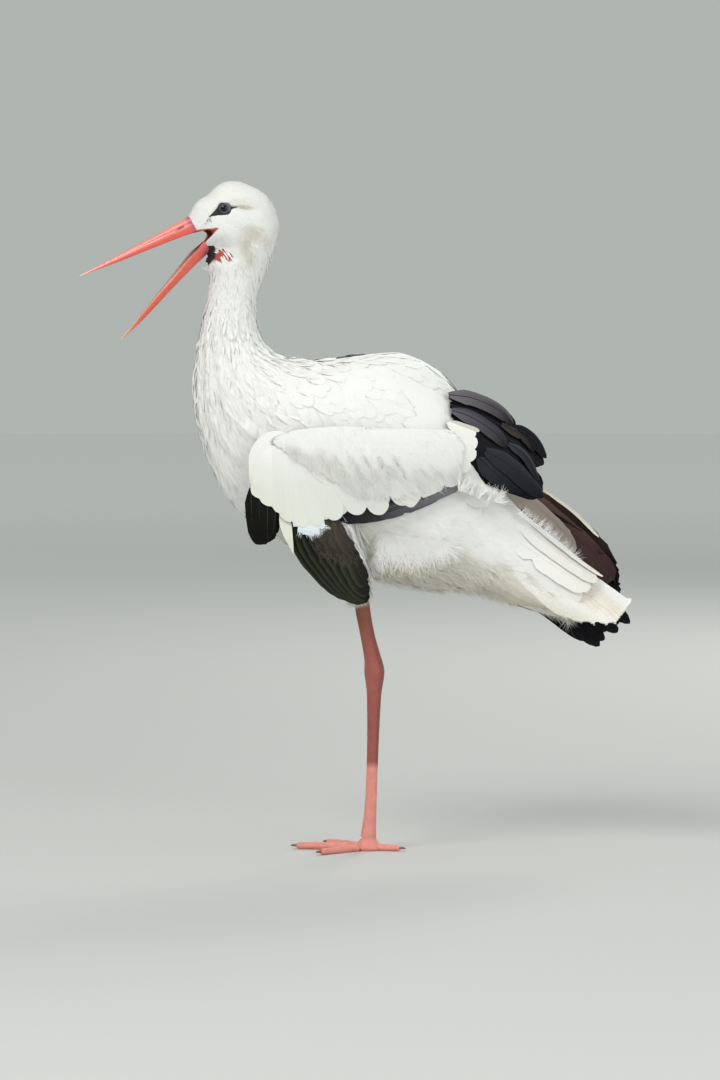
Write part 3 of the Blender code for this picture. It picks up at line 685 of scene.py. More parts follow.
def eye_patch(x, z):
    """Below 0 inside the bare black skin round the eye, in metres from its edge."""
    middle = (EYE[0], EYE[2])
    front = taper(x, z, middle, (-0.2168, 0.8370), 0.0085, 0.0003, 1.15)
    rear = taper(x, z, middle, (-0.1782, 0.8500), 0.0082, 0.0004, 2.4)
    return np.minimum(front, rear)


def in_mouth(x, z, margin=0.0):
    """Inside the open mouth, widened by margin."""
    dx, dz = GAPE[0] + margin - x, z - GAPE[1]
    up = -dx * math.tan(UPPER_TILT) + margin
    low = -dx * math.tan(LOWER_TILT) - margin
    return (dx > 0) & (dz < up) & (dz > low)


def on_lip(x, z):
    """On the edge of horn and bare skin that borders the open mouth."""
    dx = GAPE[0] + 0.0015 - x
    above = z - (GAPE[1] - dx * math.tan(UPPER_TILT))
    below = (GAPE[1] - dx * math.tan(LOWER_TILT)) - z
    width = 0.0009 + 0.15 * np.clip(dx - 0.004, 0, 0.02)
    return (dx > 0) & (((above > -0.001) & (above < width)) | ((below > -0.001) & (below < 0.0012)))


def gular_dark(x, z):
    """1 on the black bare skin between the lower bill and the throat, 0 elsewhere."""
    rear = -0.2082 - 0.0078 * ramp(z, 0.7860, 0.7715)
    return ramp(x, rear + 0.0007, rear - 0.0007) * ramp(z, 0.7690, 0.7715) * ramp(z, 0.8000, 0.7985)


def bare_throat(s, a):
    """From 0 to 1 where red skin shows between the feathers, under the cheek."""
    x, _, z = straight(s, a)
    red = bump(x, z, -0.1990, 0.7875, 0.0145, 0.0100) * ramp(z, 0.7990, 0.7965)
    return np.clip(red * 1.9, 0, 1) * ramp(side_angle(a), 0.9, 1.3) * ramp(s, 9.5, 8)


# ---- The skin ----

FLESH = ("head", "neck", "trunk", "tail", "thigh_left", "thigh_right")
SOCKET_FILL = ("eye_left", "eye_right")
SWOLLEN = 0.0006  # the solids are let out this much, so that their cuts close
SKIN_MESH = 0.0024
LEG_SWOLLEN = 0.0004
LEG_MESH = 0.0011


def coat_depth(s):
    depths = (0.0008, 0.0013, 0.0022, 0.0035, 0.0055, 0.0060, 0.0040)
    return np.interp(s, (0, 4.5, 8, 12, 15, 22, 25), depths)


def nearest_place(points):
    """Section and angle of the body's surface nearest each point."""
    _, _, corners, weight = BODY.nearest(points)
    best = corners[np.arange(len(corners)), weight.argmax(axis=1)]
    return BODY.place[best, 0], BODY.place[best, 1]


def unturned(points, s):
    """X and Z of points before the head's turn."""
    back = turn_head(points, -section_at(s)[..., 5] * HEAD_TURN)
    return back[:, 0], back[:, 2]


def skin_colour(points, s, a):
    x, z = unturned(points, s)
    b = side_angle(a)
    patch = np.where((s < 7) & (b > 0.5) & (b < 2.4), ramp(eye_patch(x, z), 0.0006, -0.0004), 0)
    lip = (s < 6) & on_lip(x, z)
    upper = lip & (z > LIPS_PART)
    lower = lip & (z < LIPS_PART)
    return layered(
        toned(s, a),
        (SKIN_BLACK, patch),
        (LIP_RED, upper),
        (MOUTH_RED, ((s < 6) & in_mouth(x, z, 0.0012) | lower) & ~upper),
        (GULAR_RED, bare_throat(s, a)),
        (SKIN_BLACK, ramp(gular_dark(x, z), 0.2, 0.6) * (s < 9)),
    )


def gathered(names):
    """The solids of some nodes together, in one bmesh."""
    made = bmesh.new()
    for name in names:
        made.from_mesh(nodes[name].data)
    bmesh.ops.remove_doubles(made, verts=made.verts, dist=1e-6)
    made.normal_update()
    return made


def remeshed(name, made, swelling, voxel, rounds):
    """One closed skin over a bmesh, let out a little, evenly meshed and then smoothed."""
    for v in made.verts:
        v.co += v.normal * swelling
    mesh = bpy.data.meshes.new(name)
    made.to_mesh(mesh)
    made.free()
    obj = shown(name, mesh)
    remesh = obj.modifiers.new("remesh", "REMESH")
    remesh.mode = "VOXEL"
    remesh.voxel_size = voxel
    rounder = obj.modifiers.new("rounder", "SMOOTH")
    rounder.iterations = rounds
    bpy.context.view_layer.update()
    ready = obj.evaluated_get(bpy.context.evaluated_depsgraph_get())
    obj.modifiers.clear()
    obj.data = bpy.data.meshes.new_from_object(ready)
    obj.data.name = name
    return obj


def corners_of(name):
    return np.array([v.co[:] for v in nodes[name].data.vertices])


def tree_of(name):
    faces = [list(p.vertices) for p in nodes[name].data.polygons]
    return BVHTree.FromPolygons(corners_of(name).tolist(), faces)


def line_through(corners):
    """The middle of some points, the line that they lie along, and how far each one is along it
    and from it."""
    middle = corners.mean(axis=0)
    line = np.linalg.svd(corners - middle)[2][0]
    run = (corners - middle) @ line
    return middle, line, run, np.linalg.norm(corners - middle - run[:, None] * line, axis=1)


def points_of(mesh):
    """A mesh's points and the normals there."""
    points = np.zeros(len(mesh.vertices) * 3)
    mesh.vertices.foreach_get("co", points)
    return points.reshape(-1, 3), np.array([n.vector[:] for n in mesh.vertex_normals])


def finish_remeshed(mesh, points, colours, stuff):
    """Moves a mesh's points, colours them and gives it its one material."""
    mesh.vertices.foreach_set("co", points.ravel())
    colour_points(mesh, colours)
    mesh.polygons.foreach_set("use_smooth", np.ones(len(mesh.polygons), bool))
    mesh.materials.clear()
    mesh.materials.append(stuff)


def tinted(name, stuff, points, faces, colours, replaced=()):
    """A smooth mesh with a colour at each point."""
    mesh = bpy.data.meshes.new(name)
    mesh.from_pydata(np.asarray(points).reshape(-1, 3).tolist(), [], faces)
    made = bmesh.new()
    made.from_mesh(mesh)
    bmesh.ops.recalc_face_normals(made, faces=made.faces)
    made.to_mesh(mesh)
    made.free()
    colour_points(mesh, np.asarray(colours, float).reshape(-1, 3))
    mesh.shade_smooth()
    mesh.materials.append(stuff)
    obj = shown(name, mesh)
    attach(obj, "root")
    if replaced:
        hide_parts(*replaced)


def grid_faces(rows, columns, wrap=True, closed=False):
    """Faces between rows of points, joined round if wrap, with both ends filled if closed."""
    faces = []
    for i in range(rows - 1):
        for j in range(columns if wrap else columns - 1):
            k = (j + 1) % columns
            a, b = i * columns, (i + 1) * columns
            faces.append((a + j, a + k, b + k, b + j))
    if closed:
        faces += [tuple(range(columns))[::-1], tuple(range((rows - 1) * columns, rows * columns))]
    return faces


def make_skin():
    made = gathered(FLESH + SOCKET_FILL)
    obj = remeshed("skin", made, SWOLLEN, SKIN_MESH, 3)
    mesh = obj.data
    refine_face(mesh)
    points, normals = points_of(mesh)
    s, a = nearest_place(points)
    x, z = unturned(points, s)
    hollow = (s < 6) & in_mouth(x, z, 0.0025)
    depth = np.where(hollow, 0.0006, coat_depth(s)) + SWOLLEN - relief(s, a) * ~hollow
    points = points - normals * depth[:, None]
    corner = np.zeros(len(mesh.loops), int)
    mesh.loops.foreach_get("vertex_index", corner)
    layer = mesh.uv_layers.new(name="OFBake")
    layer.uv.foreach_set("vector", unwrap(s, a)[corner].ravel())
    finish_remeshed(mesh, points, skin_colour(points, s, a), skin_stuff())
    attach(obj, "root")
    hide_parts(*FLESH, "mantle_left", "mantle_right")


def refine_face(mesh):
    """Cuts the faces round the eyes and the mouth finer."""
    made = bmesh.new()
    made.from_mesh(mesh)
    for _ in range(2):
        edges = [
            e
            for e in made.edges
            if e.verts[0].co.x < -0.162 and 0.765 < e.verts[0].co.z < 0.868
        ]
        bmesh.ops.subdivide_edges(made, edges=edges, cuts=1, use_grid_fill=True)
    bmesh.ops.triangulate(made, faces=[f for f in made.faces if len(f.verts) > 4])
    made.to_mesh(mesh)
    made.free()


def skin_stuff():
    made, tree, main = shader("skin_stuff", 0.6, Specular_IOR_Level=0.35)
    noise = noise_node(tree, 900.0, 3.0, *placed(tree))
    painted(tree, main, math_node(tree, "MULTIPLY_ADD", noise.outputs[0], 0.5, 0.75))
    bumpy(tree, main, noise, 0.5, 0.0005)
    return made


# ---- Tracts of small feathers over the body ----


def face_free(s, a, margin=0.0):
    """True where feathers may root: off the eye, the mouth and the bare throat."""
    x, _, z = straight(s, a)
    b = side_angle(a)
    off_eye = (eye_patch(x, z) > margin) | (b < 0.4) | (b > 2.5)
    off_mouth = ~in_mouth(x, z, 0.0012) & ~on_lip(x, z)
    off_chin = gular_dark(x, z) < 0.1
    return ((off_eye & off_mouth & off_chin) | (s > 7)) & (s > 0.04)


def tract(coat, ground, inside, spacing, length, half_width, rows, columns, shape, tries,
          wild=0.15, rise=0.0008, camber=0.15, ragged=0.3, soft=0.5, sink=None, shade=0.06,
          clear=None, loose=0.0):
    """Feathers scattered over one part of the body, lying back along it. clear says which
    places in X and Z, before the head turns, a tip may lie over, and a share of loose feathers
    stands out at the tip."""
    s, a = scatter(inside, spacing, tries)
    reach = length(s, a) * rng.uniform(0.85, 1.15, len(s))
    turn = rng.normal(0, wild, len(s))
    paths, normals = ground.grow(body(s, a), reach, rows, turn, steer=rng.normal(0, wild, len(s)))
    if clear is not None:
        keep = side_angle(a) < 0.45
        ends = [unturned(paths[:, k], s) for k in (rows // 2, -1)]
        keep = keep | (clear(*ends[0]) & clear(*ends[1]))
        s, a, paths, normals = s[keep], a[keep], paths[keep], normals[keep]
    n = len(s)
    t = np.linspace(0, 1, rows)
    deep = (sink(s, a) if sink else 0.3 * coat_depth(s))[:, None]
    stand = np.abs(rng.normal(0, rise, n))[:, None]
    stand = stand + ((rng.uniform(0, 1, n) < loose) * rng.uniform(0.001, 0.0045, n))[:, None]
    lift = -deep * (1 - t[None, :]) ** 1.3 + stand * t[None, :] ** 2
    base = toned(s, a)
    value = (1 + rng.normal(0, shade, n)).clip(0.8, 1.06)[:, None]
    wide = half_width(s, a) * rng.uniform(0.85, 1.15, n)
    coat.vanes(paths, normals, wide, (base * value * 0.98, base * value), shape, columns, camber,
               ragged, soft, rng.normal(0, 0.02, n), lift, place=unwrap(s, a))


def everywhere(value):
    return lambda s, a: np.full(np.shape(s), value)


def stepped(*pairs):
    """A size that changes along the body, from pairs of section and size."""
    places, sizes = zip(*pairs)
    return lambda s, a: np.interp(s, places, sizes)


def throat_sparse(s, a):
    return bare_throat(s, a) < rng.uniform(0.05, 1.03, np.shape(s))


def tip_free(x, z):
    return (
        (eye_patch(x, z) > 0.0002)
        & ~in_mouth(x, z, 0.0003)
        & ~on_lip(x, z)
        & (gular_dark(x, z) < 0.15)
        & (bump(x, z, -0.2000, 0.7875, 0.0130, 0.0085) < rng.uniform(0.30, 1.22, x.shape))
    )


def tract_coat(name, inside, *layout, **looks):
    coat = Coat(name)
    tract(coat, BODY, inside, *layout, **looks)
    coat.make()


def make_body_coats():
    """From the hair-like feathers of the face, which grow larger toward the nape, to the long
    pointed hackles down the breast, which end in loose wisps, and the flanks."""
    tract_coat(
        "head_coat", lambda s, a: (s < 5.2) & face_free(s, a, 0.0002) & throat_sparse(s, a),
        stepped((0, 0.00058), (2, 0.00078), (5.2, 0.0011)),
        stepped((0, 0.0030), (2, 0.0050), (5.2, 0.0095)),
        stepped((0, 0.00044), (2, 0.00066), (5.2, 0.00110)),
        4, 2, "soft", 900000, wild=0.13, rise=0.00012, soft=0.90, shade=0.030, clear=tip_free,
    )
    tract_coat(
        "nape_coat", lambda s, a: (s >= 4.6) & (s < 10.5) & face_free(s, a) & throat_sparse(s, a),
        stepped((4.6, 0.0011), (10.5, 0.0018)),
        stepped((4.6, 0.010), (10.5, 0.022)),
        stepped((4.6, 0.0010), (10.5, 0.0019)),
        5, 2, "soft", 500000, wild=0.12, rise=0.0002, ragged=0.4, soft=0.92, shade=0.02,
        clear=tip_free, loose=0.03,
    )
    tract_coat(
        "neck_coat", lambda s, a: (s >= 9.6) & (s < 14),
        stepped((9.6, 0.0018), (14, 0.0029)),
        stepped((9.6, 0.022), (14, 0.042)),
        stepped((9.6, 0.0020), (14, 0.0031)),
        6, 2, "soft", 360000, wild=0.10, rise=0.0003, ragged=0.5, soft=0.88, shade=0.03, loose=0.05,
    )
    tract_coat(
        "breast_coat", lambda s, a: (s >= 11) & (s < 16.4) & (side_angle(a) > 1.35),
        stepped((11, 0.0058), (16.4, 0.0070)),
        stepped((11, 0.042), (14, 0.064), (16.4, 0.055)),
        stepped((11, 0.0032), (16.4, 0.0044)),
        8, 3, "point", 90000, wild=0.10, rise=0.0007, ragged=0.6, soft=0.84, shade=0.03,
        sink=everywhere(0.0012),
    )
    for name, side in SIDES:
        tract_coat(
            f"flank_coat_{name}",
            lambda s, a, side=side: (s >= 13) & (s < 23) & (np.sin(a) * side < 0.12),
            stepped((13, 0.0034), (23, 0.0045)),
            stepped((13, 0.040), (18, 0.055), (23, 0.052)),
            stepped((13, 0.0034), (18, 0.0050), (23, 0.0052)),
            8, 3, "soft", 260000, wild=0.08, rise=0.0002, ragged=0.4, soft=0.92, shade=0.012,
            camber=0.12,
        )


DOWN_DEPTH = 0.0026  # how far the scapulars' down lies under them

# Tips of the hindmost scapulars, X and Z, from the top one down.
REAR_SCAPULARS = np.array([
    (0.0470, 0.6500), (0.0600, 0.6455), (0.0730, 0.6400), (0.0870, 0.6320), (0.0970, 0.6190),
    (0.1050, 0.6040), (0.1090, 0.5880), (0.1040, 0.5740), (0.0900, 0.5670),
])


def make_scapulars():
    """The rounded feathers of the back and shoulders, which cover the wings' upper edge, and the
    down beneath them."""
    s, a = np.meshgrid(np.linspace(12.8, 21.2, 110), np.linspace(-2.3, 2.3, 110), indexing="ij")
    points, normals = body_surface(s, a)
    height = mantle_height(s, a) + relief(s, a) - DOWN_DEPTH
    down = horn("down", 0.85, 500.0, 0.05, 0.0, 0.0003, specular=0.1)
    tinted("mantle_down", down, points + normals * height[..., None],
           grid_faces(*s.shape, wrap=False), toned(s, a))
    coat = Coat("scapulars")
    tract(
        coat, MANTLE, lambda s, a: (s >= 13.2) & (s < 20.2) & (side_angle(a) < 1.85 - 0.07 * (s - 14)),
        stepped((13.2, 0.0070), (17, 0.0105), (20.2, 0.0115)),
        stepped((13.2, 0.038), (17, 0.064), (20.2, 0.058)),
        stepped((13.2, 0.0072), (17, 0.0125), (20.2, 0.0140)),
        13, 7, "round", 80000, wild=0.06, rise=0.0002, ragged=0.05, soft=0.93, shade=0.008,
        sink=everywhere(0.0018), camber=0.04,
    )
    tips = np.insert(REAR_SCAPULARS, 1, 0.0, axis=1)
    angle = np.radians(np.linspace(-30, -6, len(tips)))
    way = np.stack((np.cos(angle), np.zeros(len(tips)), np.sin(angle)), axis=-1)
    for side in (LEFT, RIGHT):
        starts = tips + (0.0, side * 0.12, 0.0) - way * 0.048
        paths, normals = MANTLE.grow(starts, 0.053, 13, direction=way)
        for path, normal, out in zip(paths, normals, np.linspace(0.0004, 0.0026, len(tips))):
            coat.vanes(path[None], normal[None], 0.0098, SNOW, "blunt", 9, 0.16, 0.04, 0.75,
                       lift=out)
    coat.make()


def make_tail():
    """The tail feathers, the long coverts over and under them, and their loose edges."""
    coat = Coat("tail_vanes")
    angles = np.array([0.25, 0.7, 1.15, 1.6, 2.05, 2.5, 2.9])
    angles = np.concatenate((-angles[::-1], angles))
    ends = 25.0 - 0.10 * np.abs(angles) + rng.uniform(-0.06, 0.06, 14)
    t = np.linspace(0, 1, 20)
    s = 22.3 + (ends[:, None] - 22.3) * t
    paths, normals = body_surface(s, np.broadcast_to(angles[:, None], s.shape))
    out = 0.0001 + 0.0007 * (1 - np.abs(angles)[:, None] / 2.9) - 0.0030 * (1 - t) ** 2
    tip = mix(SNOW, CREAM, np.full(14, 0.20))
    tip = mix(tip, RUST, 0.12 * ramp(np.abs(angles), 1.6, 0.9))
    quills(coat, paths + normals * out[..., None], normals, 0.0165, (SNOW, tip),
           shaft=(0.80, 0.775, 0.71), sway=-0.10 * np.sign(angles), notch=0.03, ragged=0.06,
           camber=0.10, soft=0.6, shape="blunt")
    coat.make()
    over = Coat("tail_coverts")
    tract(
        over, BODY, lambda s, a: (s >= 20.5) & (s < 23.7),
        everywhere(0.0040), stepped((20.5, 0.058), (23.7, 0.040)), everywhere(0.0052),
        9, 3, "soft", 120000, wild=0.08, rise=0.0002, ragged=0.4, soft=0.94, shade=0.012,
        sink=everywhere(0.0012), camber=0.10,
    )
    make_rump_tuft(over)
    over.make()


def make_rump_tuft(coat):
    """Spiky loose plumes that stand up behind the wing, and hairs over the edge of the tail."""
    count = 46
    x = np.linspace(0.112, 0.158, count)
    roots = np.stack((x, np.full(count, -0.083), 0.476 + 0.4 * (0.125 - x).clip(-0.02, 0.01)), axis=-1)
    roots[:, 1] += rng.normal(0, 0.004, count)
    lean = np.radians(rng.normal(62, 12, count) - 30 * ramp(x, 0.13, 0.156))
    reach = rng.uniform(0.012, 0.021, count)
    paths = rays(roots, np.stack((np.cos(lean), np.full(count, -0.10), np.sin(lean)), axis=-1), reach, 6)
    coat.vanes(paths, (0.0, LEFT, 0.0), 0.0014, SNOW, "soft", 3, 0.2, 0.5, 0.8)
    fringe(coat, paths, (0.0, LEFT, 0.0), 0.0016, 16, 0.009, SNOW, 0.6, first=0.1, width=0.00024)
    count = 210
    share = rng.uniform(0, 1, count)
    edge = along([(0.190, 0.4530), (0.2180, 0.4360), (0.2420, 0.4130), (0.2660, 0.3930)], share)
    roots = np.stack((edge[:, 0], np.full(count, -0.042), edge[:, 1] - 0.004), axis=-1)
    roots[:, 1] += rng.normal(0, 0.003, count)
    lean = np.radians(rng.normal(42, 26, count))
    reach = rng.uniform(0.008, 0.017, count)
    way = np.stack((np.cos(lean), rng.normal(-0.1, 0.2, count), np.sin(lean)), axis=-1)
    coat.vanes(rays(roots, way, reach, 4), (0.0, LEFT, 0.0), 0.00022, SNOW, "barb", 2, 0.0, 0.0, 0.9)


def make_flank_plumes():
    """A spray of loose plumes that hangs over the thigh, behind the lowered wing."""
    coat = Coat("flank_plumes")
    sheet = Sheet("thigh_left", LEFT)
    count, rows = 17, 14
    share = np.linspace(0, 1, count)
    start = np.stack((0.006 + 0.056 * share, 0.446 - 0.010 * share), axis=-1)
    angle = np.radians(-66 + 30 * share + rng.normal(0, 5, count))
    paths, normals = sheet.strokes(start[:, 0], start[:, 1], rng.uniform(0.044, 0.062, count), angle,
                                   np.full(count, -0.35), rows, 0.0050)
    coat.vanes(paths, normals, 0.0034, SNOW, "point", 3, 0.3, 0.6, 0.6)
    fringe(coat, paths, normals, 0.0034, 120, 0.019, SNOW, 0.75, first=0.15, width=0.00024, rows=6,
           droop=0.25)
    coat.make()


def make_underparts():
    """Loose cream plumes under the tail, whose barbs hang free."""
    coat = Coat("underparts")
    s, a = scatter(
        lambda s, a: (s > 17.2) & (s < 24.3) & (side_angle(a) > np.interp(s, (19, 21.5), (2.35, 1.80))),
        everywhere(0.0098), 40000
    )
    n = len(s)
    paths, normals = BODY.grow(body(s, a), rng.uniform(0.035, 0.055, n), 8, rng.normal(0, 0.16, n))
    t = np.linspace(0, 1, 8)
    hang = rng.uniform(0.001, 0.006, n)[:, None] * t**2
    base = mix(toned(s, a), CREAM, np.full(n, 0.35))
    coat.vanes(paths, normals, 0.0058, base, "point", 3, 0.2, 0.6, 0.75,
               lift=hang - 0.002 * (1 - t), place=unwrap(s, a))
    lifted = paths + normals * hang[..., None]
    fringe(coat, lifted, normals, 0.005, 26, 0.014, mix(SNOW, CREAM, 0.5), 0.6, first=0.35,
           rows=5, droop=0.10)
    coat.make()


# ---- Thighs ----


def make_thighs():
    """Soft plumes down each thigh, over the skin and onto the top of the leg."""
    for name, side in SIDES:
        tree, corners = tree_of(f"thigh_{name}"), corners_of(f"thigh_{name}")
        order = np.argsort(corners[:, 2])
        toe, top = corners[order[:12]].mean(axis=0), corners[order[-24:]].mean(axis=0)
        if side == RIGHT:
            order = np.argsort(corners[:, 0])
            top, toe = corners[order[:16]].mean(axis=0), corners[order[-12:]].mean(axis=0)
        axis = unit(toe - top)
        coat = Coat(f"thigh_coat_{name}")
        count = 1500
        share = rng.uniform(0.0, 1.0, count)
        spin = rng.uniform(0, math.tau, count)
        other = unit(np.cross(axis, (0.0, 1.0, 0.0)))
        third = np.cross(axis, other)
        middle = top + (toe - top) * share[:, None]
        away = other * np.cos(spin)[:, None] + third * np.sin(spin)[:, None]
        starts, outward = [], []
        for place, way in zip(middle, away):
            hit = tree.ray_cast(Vector(place + way * 0.12), Vector(-way))
            starts.append(place + way * 0.01 if hit[0] is None else hit[0][:])
            outward.append(way if hit[1] is None else hit[1][:])
        starts, outward = np.array(starts), unit(0.6 * away + 0.4 * np.array(outward))
        rows = 7
        reach = (0.030 + 0.010 * (1 - share)) * rng.uniform(0.8, 1.1, count)
        reach = np.minimum(reach, 0.012 + np.linalg.norm(toe - top) * (1 - share))
        t = np.linspace(0, 1, rows)[None, :, None]
        way = unit(axis - outward * (outward @ axis)[:, None] + rng.normal(0, 0.10, (count, 3)))
        paths = rays(starts, way, reach, rows)
        pull = (paths - middle[:, None]) * 0.10 * t
        paths = paths - pull - outward[:, None, :] * (0.003 * (1 - t))
        outward = outward[:, None]
        coat.vanes(paths, outward, 0.0052, SNOW, "point", 3, 0.2, 0.6, 0.7, place=place_of(starts))
        fringe(coat, paths, outward, 0.004, 7, 0.012, SNOW, 0.5, first=0.5)
        coat.make()


# ---- Wings ----

FEATHER_BOW = 0.0012  # how far a flight feather's middle rises
SHAFT_RISE = 0.00035
SHAFT_HALF_WIDTH = 0.0009


class Sheet:
    """A node's outer face on one side, as Y over X and Z, on a smooth cubic. It lies a distance,
    inset, inside the node."""

    def __init__(self, name, side, inset=0.0):
        tree, corners = tree_of(name), corners_of(name)[:, [0, 2]]
        low, high = corners.min(axis=0), corners.max(axis=0)
        x, z = np.meshgrid(np.linspace(low[0], high[0], 40), np.linspace(low[1], high[1], 40))
        samples = []
        for px, pz in zip(x.ravel(), z.ravel()):
            hit = tree.ray_cast(Vector((px, side * 0.5, pz)), Vector((0, -side, 0)))[0]
            if hit is not None:
                samples.append((px, pz, hit.y))
        samples = np.array(samples)
        self.side = side
        self.middle, self.scale = (low + high) / 2, (high - low) / 2
        powers = self.powers(samples[:, 0], samples[:, 1])
        self.factors = np.linalg.lstsq(powers, samples[:, 2], rcond=None)[0]
        self.factors[0] -= side * inset

    def powers(self, x, z):
        u = np.clip((x - self.middle[0]) / self.scale[0], -1.05, 1.05)
        v = np.clip((z - self.middle[1]) / self.scale[1], -1.05, 1.05)
        return np.stack([u**i * v**j for i in range(4) for j in range(4 - i)], axis=-1)

    def height(self, x, z):
        return self.powers(x, z) @ self.factors

    def normal(self, x, z):
        step = 1e-3
        by_x = (self.height(x + step, z) - self.height(x - step, z)) / (2 * step)
        by_z = (self.height(x, z + step) - self.height(x, z - step)) / (2 * step)
        return unit(np.stack((-by_x, np.ones_like(x), -by_z), axis=-1) * self.side)

    def lay(self, x, z, out=0.0):
        """Points over places in X and Z, moved out by a distance, and their normals."""
        y = self.height(x, z) + self.side * out
        return np.stack((x, y, z), axis=-1), self.normal(x, z)

    def strokes(self, x, z, length, angle, bend, rows, out=0.0):
        """Paths that start at places in X and Z and run at an angle from +X, bending as they go."""
        x, z, length, angle, bend = (np.reshape(value, (-1, 1)) for value in (x, z, length, angle, bend))
        way = angle + bend * np.linspace(0, 1, rows)
        step = length / (rows - 1)
        px = x + np.cumsum(np.cos(way) * step, axis=1) - np.cos(way[:, :1]) * step
        pz = z + np.cumsum(np.sin(way) * step, axis=1) - np.sin(way[:, :1]) * step
        return self.lay(px, pz, out)


def rays(roots, way, reach, rows):
    """Straight paths from roots, each reaching a distance along its way."""
    t = np.linspace(0, 1, rows)[None, :, None]
    return roots[:, None] + way[:, None] * np.reshape(reach, (-1, 1, 1)) * t


def place_of(points):
    return unwrap(*nearest_place(points))


def fan(sheet, edges, shares, starts, ends, rows, out):
    """Paths between two edge curves: each has its share of the way across, its start and end
    along the curves, and how far it lies outside the sheet."""
    t = np.linspace(0, 1, rows)
    count = len(shares)
    starts, out = np.broadcast_to(starts, count), np.broadcast_to(out, count)
    paths, normals = [], []
    for share, start, end, lift in zip(shares, starts, ends, out):
        way = start + (end - start) * t
        upper, lower = along(edges[0], way), along(edges[1], way)
        place = upper + (lower - upper) * share
        points, normal = sheet.lay(place[:, 0], place[:, 1], lift)
        paths.append(points)
        normals.append(normal)
    return np.array(paths), np.array(normals)


def quills(coat, paths, normals, half_width, tint, shape="quill", columns=9, camber=0.22,
           shaft=(0.03, 0.028, 0.030), notch=0.05, sway=0.0, ragged=0.10, soft=0.15, rim=None):
    """Flight feathers, each with a shaft that stands a little above its vanes."""
    root = place_of(paths[:, 0])
    bow = FEATHER_BOW * np.sin(math.pi * np.linspace(0, 1, paths.shape[1]))
    coat.vanes(paths, normals, half_width, tint, shape, columns, camber, ragged, soft, sway, bow,
               notch, rim, root)
    coat.vanes(paths + normals * (bow + SHAFT_RISE)[:, None], normals, SHAFT_HALF_WIDTH, shaft,
               "barb", 3, 0.6, 0, 0.1, place=root)


def fanned(coat, node, side, edges, shares, ends, rows, out, half_width, tint, **looks):
    """Flight feathers fanned over one node from its root, with the sheet that they lie on."""
    sheet = Sheet(node, side)
    paths, normals = fan(sheet, edges, shares, 0.0, ends, rows, out)
    quills(coat, paths, normals, half_width, tint, **looks)
    return sheet


def laid(coat, sheet, feathers, **looks):
    """Single feathers, each given by its middle line in X and Z, its half width, how far it lies
    outside the sheet, its colours at root and tip, and the colour and share of one edge."""
    for line, half, out, tint, rim in feathers:
        place = along(line, np.linspace(0, 1, 22))
        points, normals = sheet.lay(place[:, 0], place[:, 1], out)
        quills(coat, points[None], normals[None], half, tint, rim=rim, **looks)


def fringe(coat, paths, normals, half_width, count, length, tint, spread=0.5, first=0.6,
           width=0.00028, rows=4, droop=0.0):
    """Loose barbs that splay from the outer part of each feather."""
    n, rows_in = paths.shape[:2]
    normals = np.broadcast_to(normals, paths.shape)
    pick = np.repeat(np.arange(n), count)
    m = len(pick)
    t = rng.uniform(first, 1.0, m) * (rows_in - 1)
    low = np.minimum(t.astype(int), rows_in - 2)
    share = (t - low)[:, None]
    start = paths[pick, low] * (1 - share) + paths[pick, low + 1] * share
    normal = normals[pick, low]
    ahead = unit(paths[pick, low + 1] - paths[pick, low])
    across = unit(np.cross(normal, ahead))
    off = rng.uniform(-1, 1, m)
    wide = np.broadcast_to(half_width, n)[pick]
    start = start + across * (off * wide * 0.85)[:, None]
    angle = off * spread + rng.normal(0, 0.18, m)
    way = ahead * np.cos(angle)[:, None] + across * np.sin(angle)[:, None]
    reach = length * rng.uniform(0.6, 1.3, m)
    k = np.linspace(0, 1, rows)[None, :, None]
    curl = rng.normal(0, 0.18, m)[:, None, None]
    ribbons = (
        rays(start, way, reach, rows)
        + across[:, None, :] * reach[:, None, None] * curl * k**2
        + normal[:, None, :] * (0.0006 + rng.uniform(0, 0.0022, m)[:, None, None] * k**2)
    )
    ribbons[..., 2] -= droop * (k[..., 0] ** 2) * reach[:, None]
    coat.vanes(ribbons, normal[:, None], width, tint, "barb", 2, 0.0, 0.0, 0.9,
               place=place_of(start))


COVERTS_LEFT = (
    [(-0.149, 0.512), (-0.143, 0.538), (-0.124, 0.558), (-0.080, 0.566), (-0.032, 0.569),
     (0.030, 0.566), (0.075, 0.566), (0.107, 0.562), (0.120, 0.545)],
    [(-0.150, 0.490), (-0.143, 0.470), (-0.121, 0.456), (-0.098, 0.438), (-0.072, 0.436),
     (-0.030, 0.448), (0.030, 0.456), (0.080, 0.468), (0.124, 0.500)],
)
SILK_LEFT = [(-0.140, 0.535), (-0.1330, 0.5450), (-0.1044, 0.5259), (-0.0800, 0.5090), (-0.0422, 0.4883),
             (-0.0150, 0.4725), (0.0200, 0.4690), (0.0709, 0.4750), (0.1150, 0.4960)]
COVERTS_RIGHT = (
    [(-0.180, 0.500), (-0.160, 0.545), (-0.110, 0.566), (-0.030, 0.572), (0.050, 0.566),
     (0.112, 0.545)],
    [(-0.180, 0.486), (-0.135, 0.458), (-0.080, 0.444), (-0.010, 0.432), (0.050, 0.434),
     (0.104, 0.470)],
)
SILK_RIGHT = [(-0.166, 0.535), (-0.130, 0.522), (-0.080, 0.495), (-0.020, 0.468), (0.040, 0.462),
              (0.104, 0.485)]
PRIMARIES_LEFT = (
    [(-0.046, 0.450), (-0.030, 0.419), (-0.015, 0.392), (-0.004, 0.364), (0.008, 0.341)],
    [(-0.110, 0.448), (-0.099, 0.408), (-0.079, 0.379), (-0.053, 0.353), (-0.018, 0.333)],
)
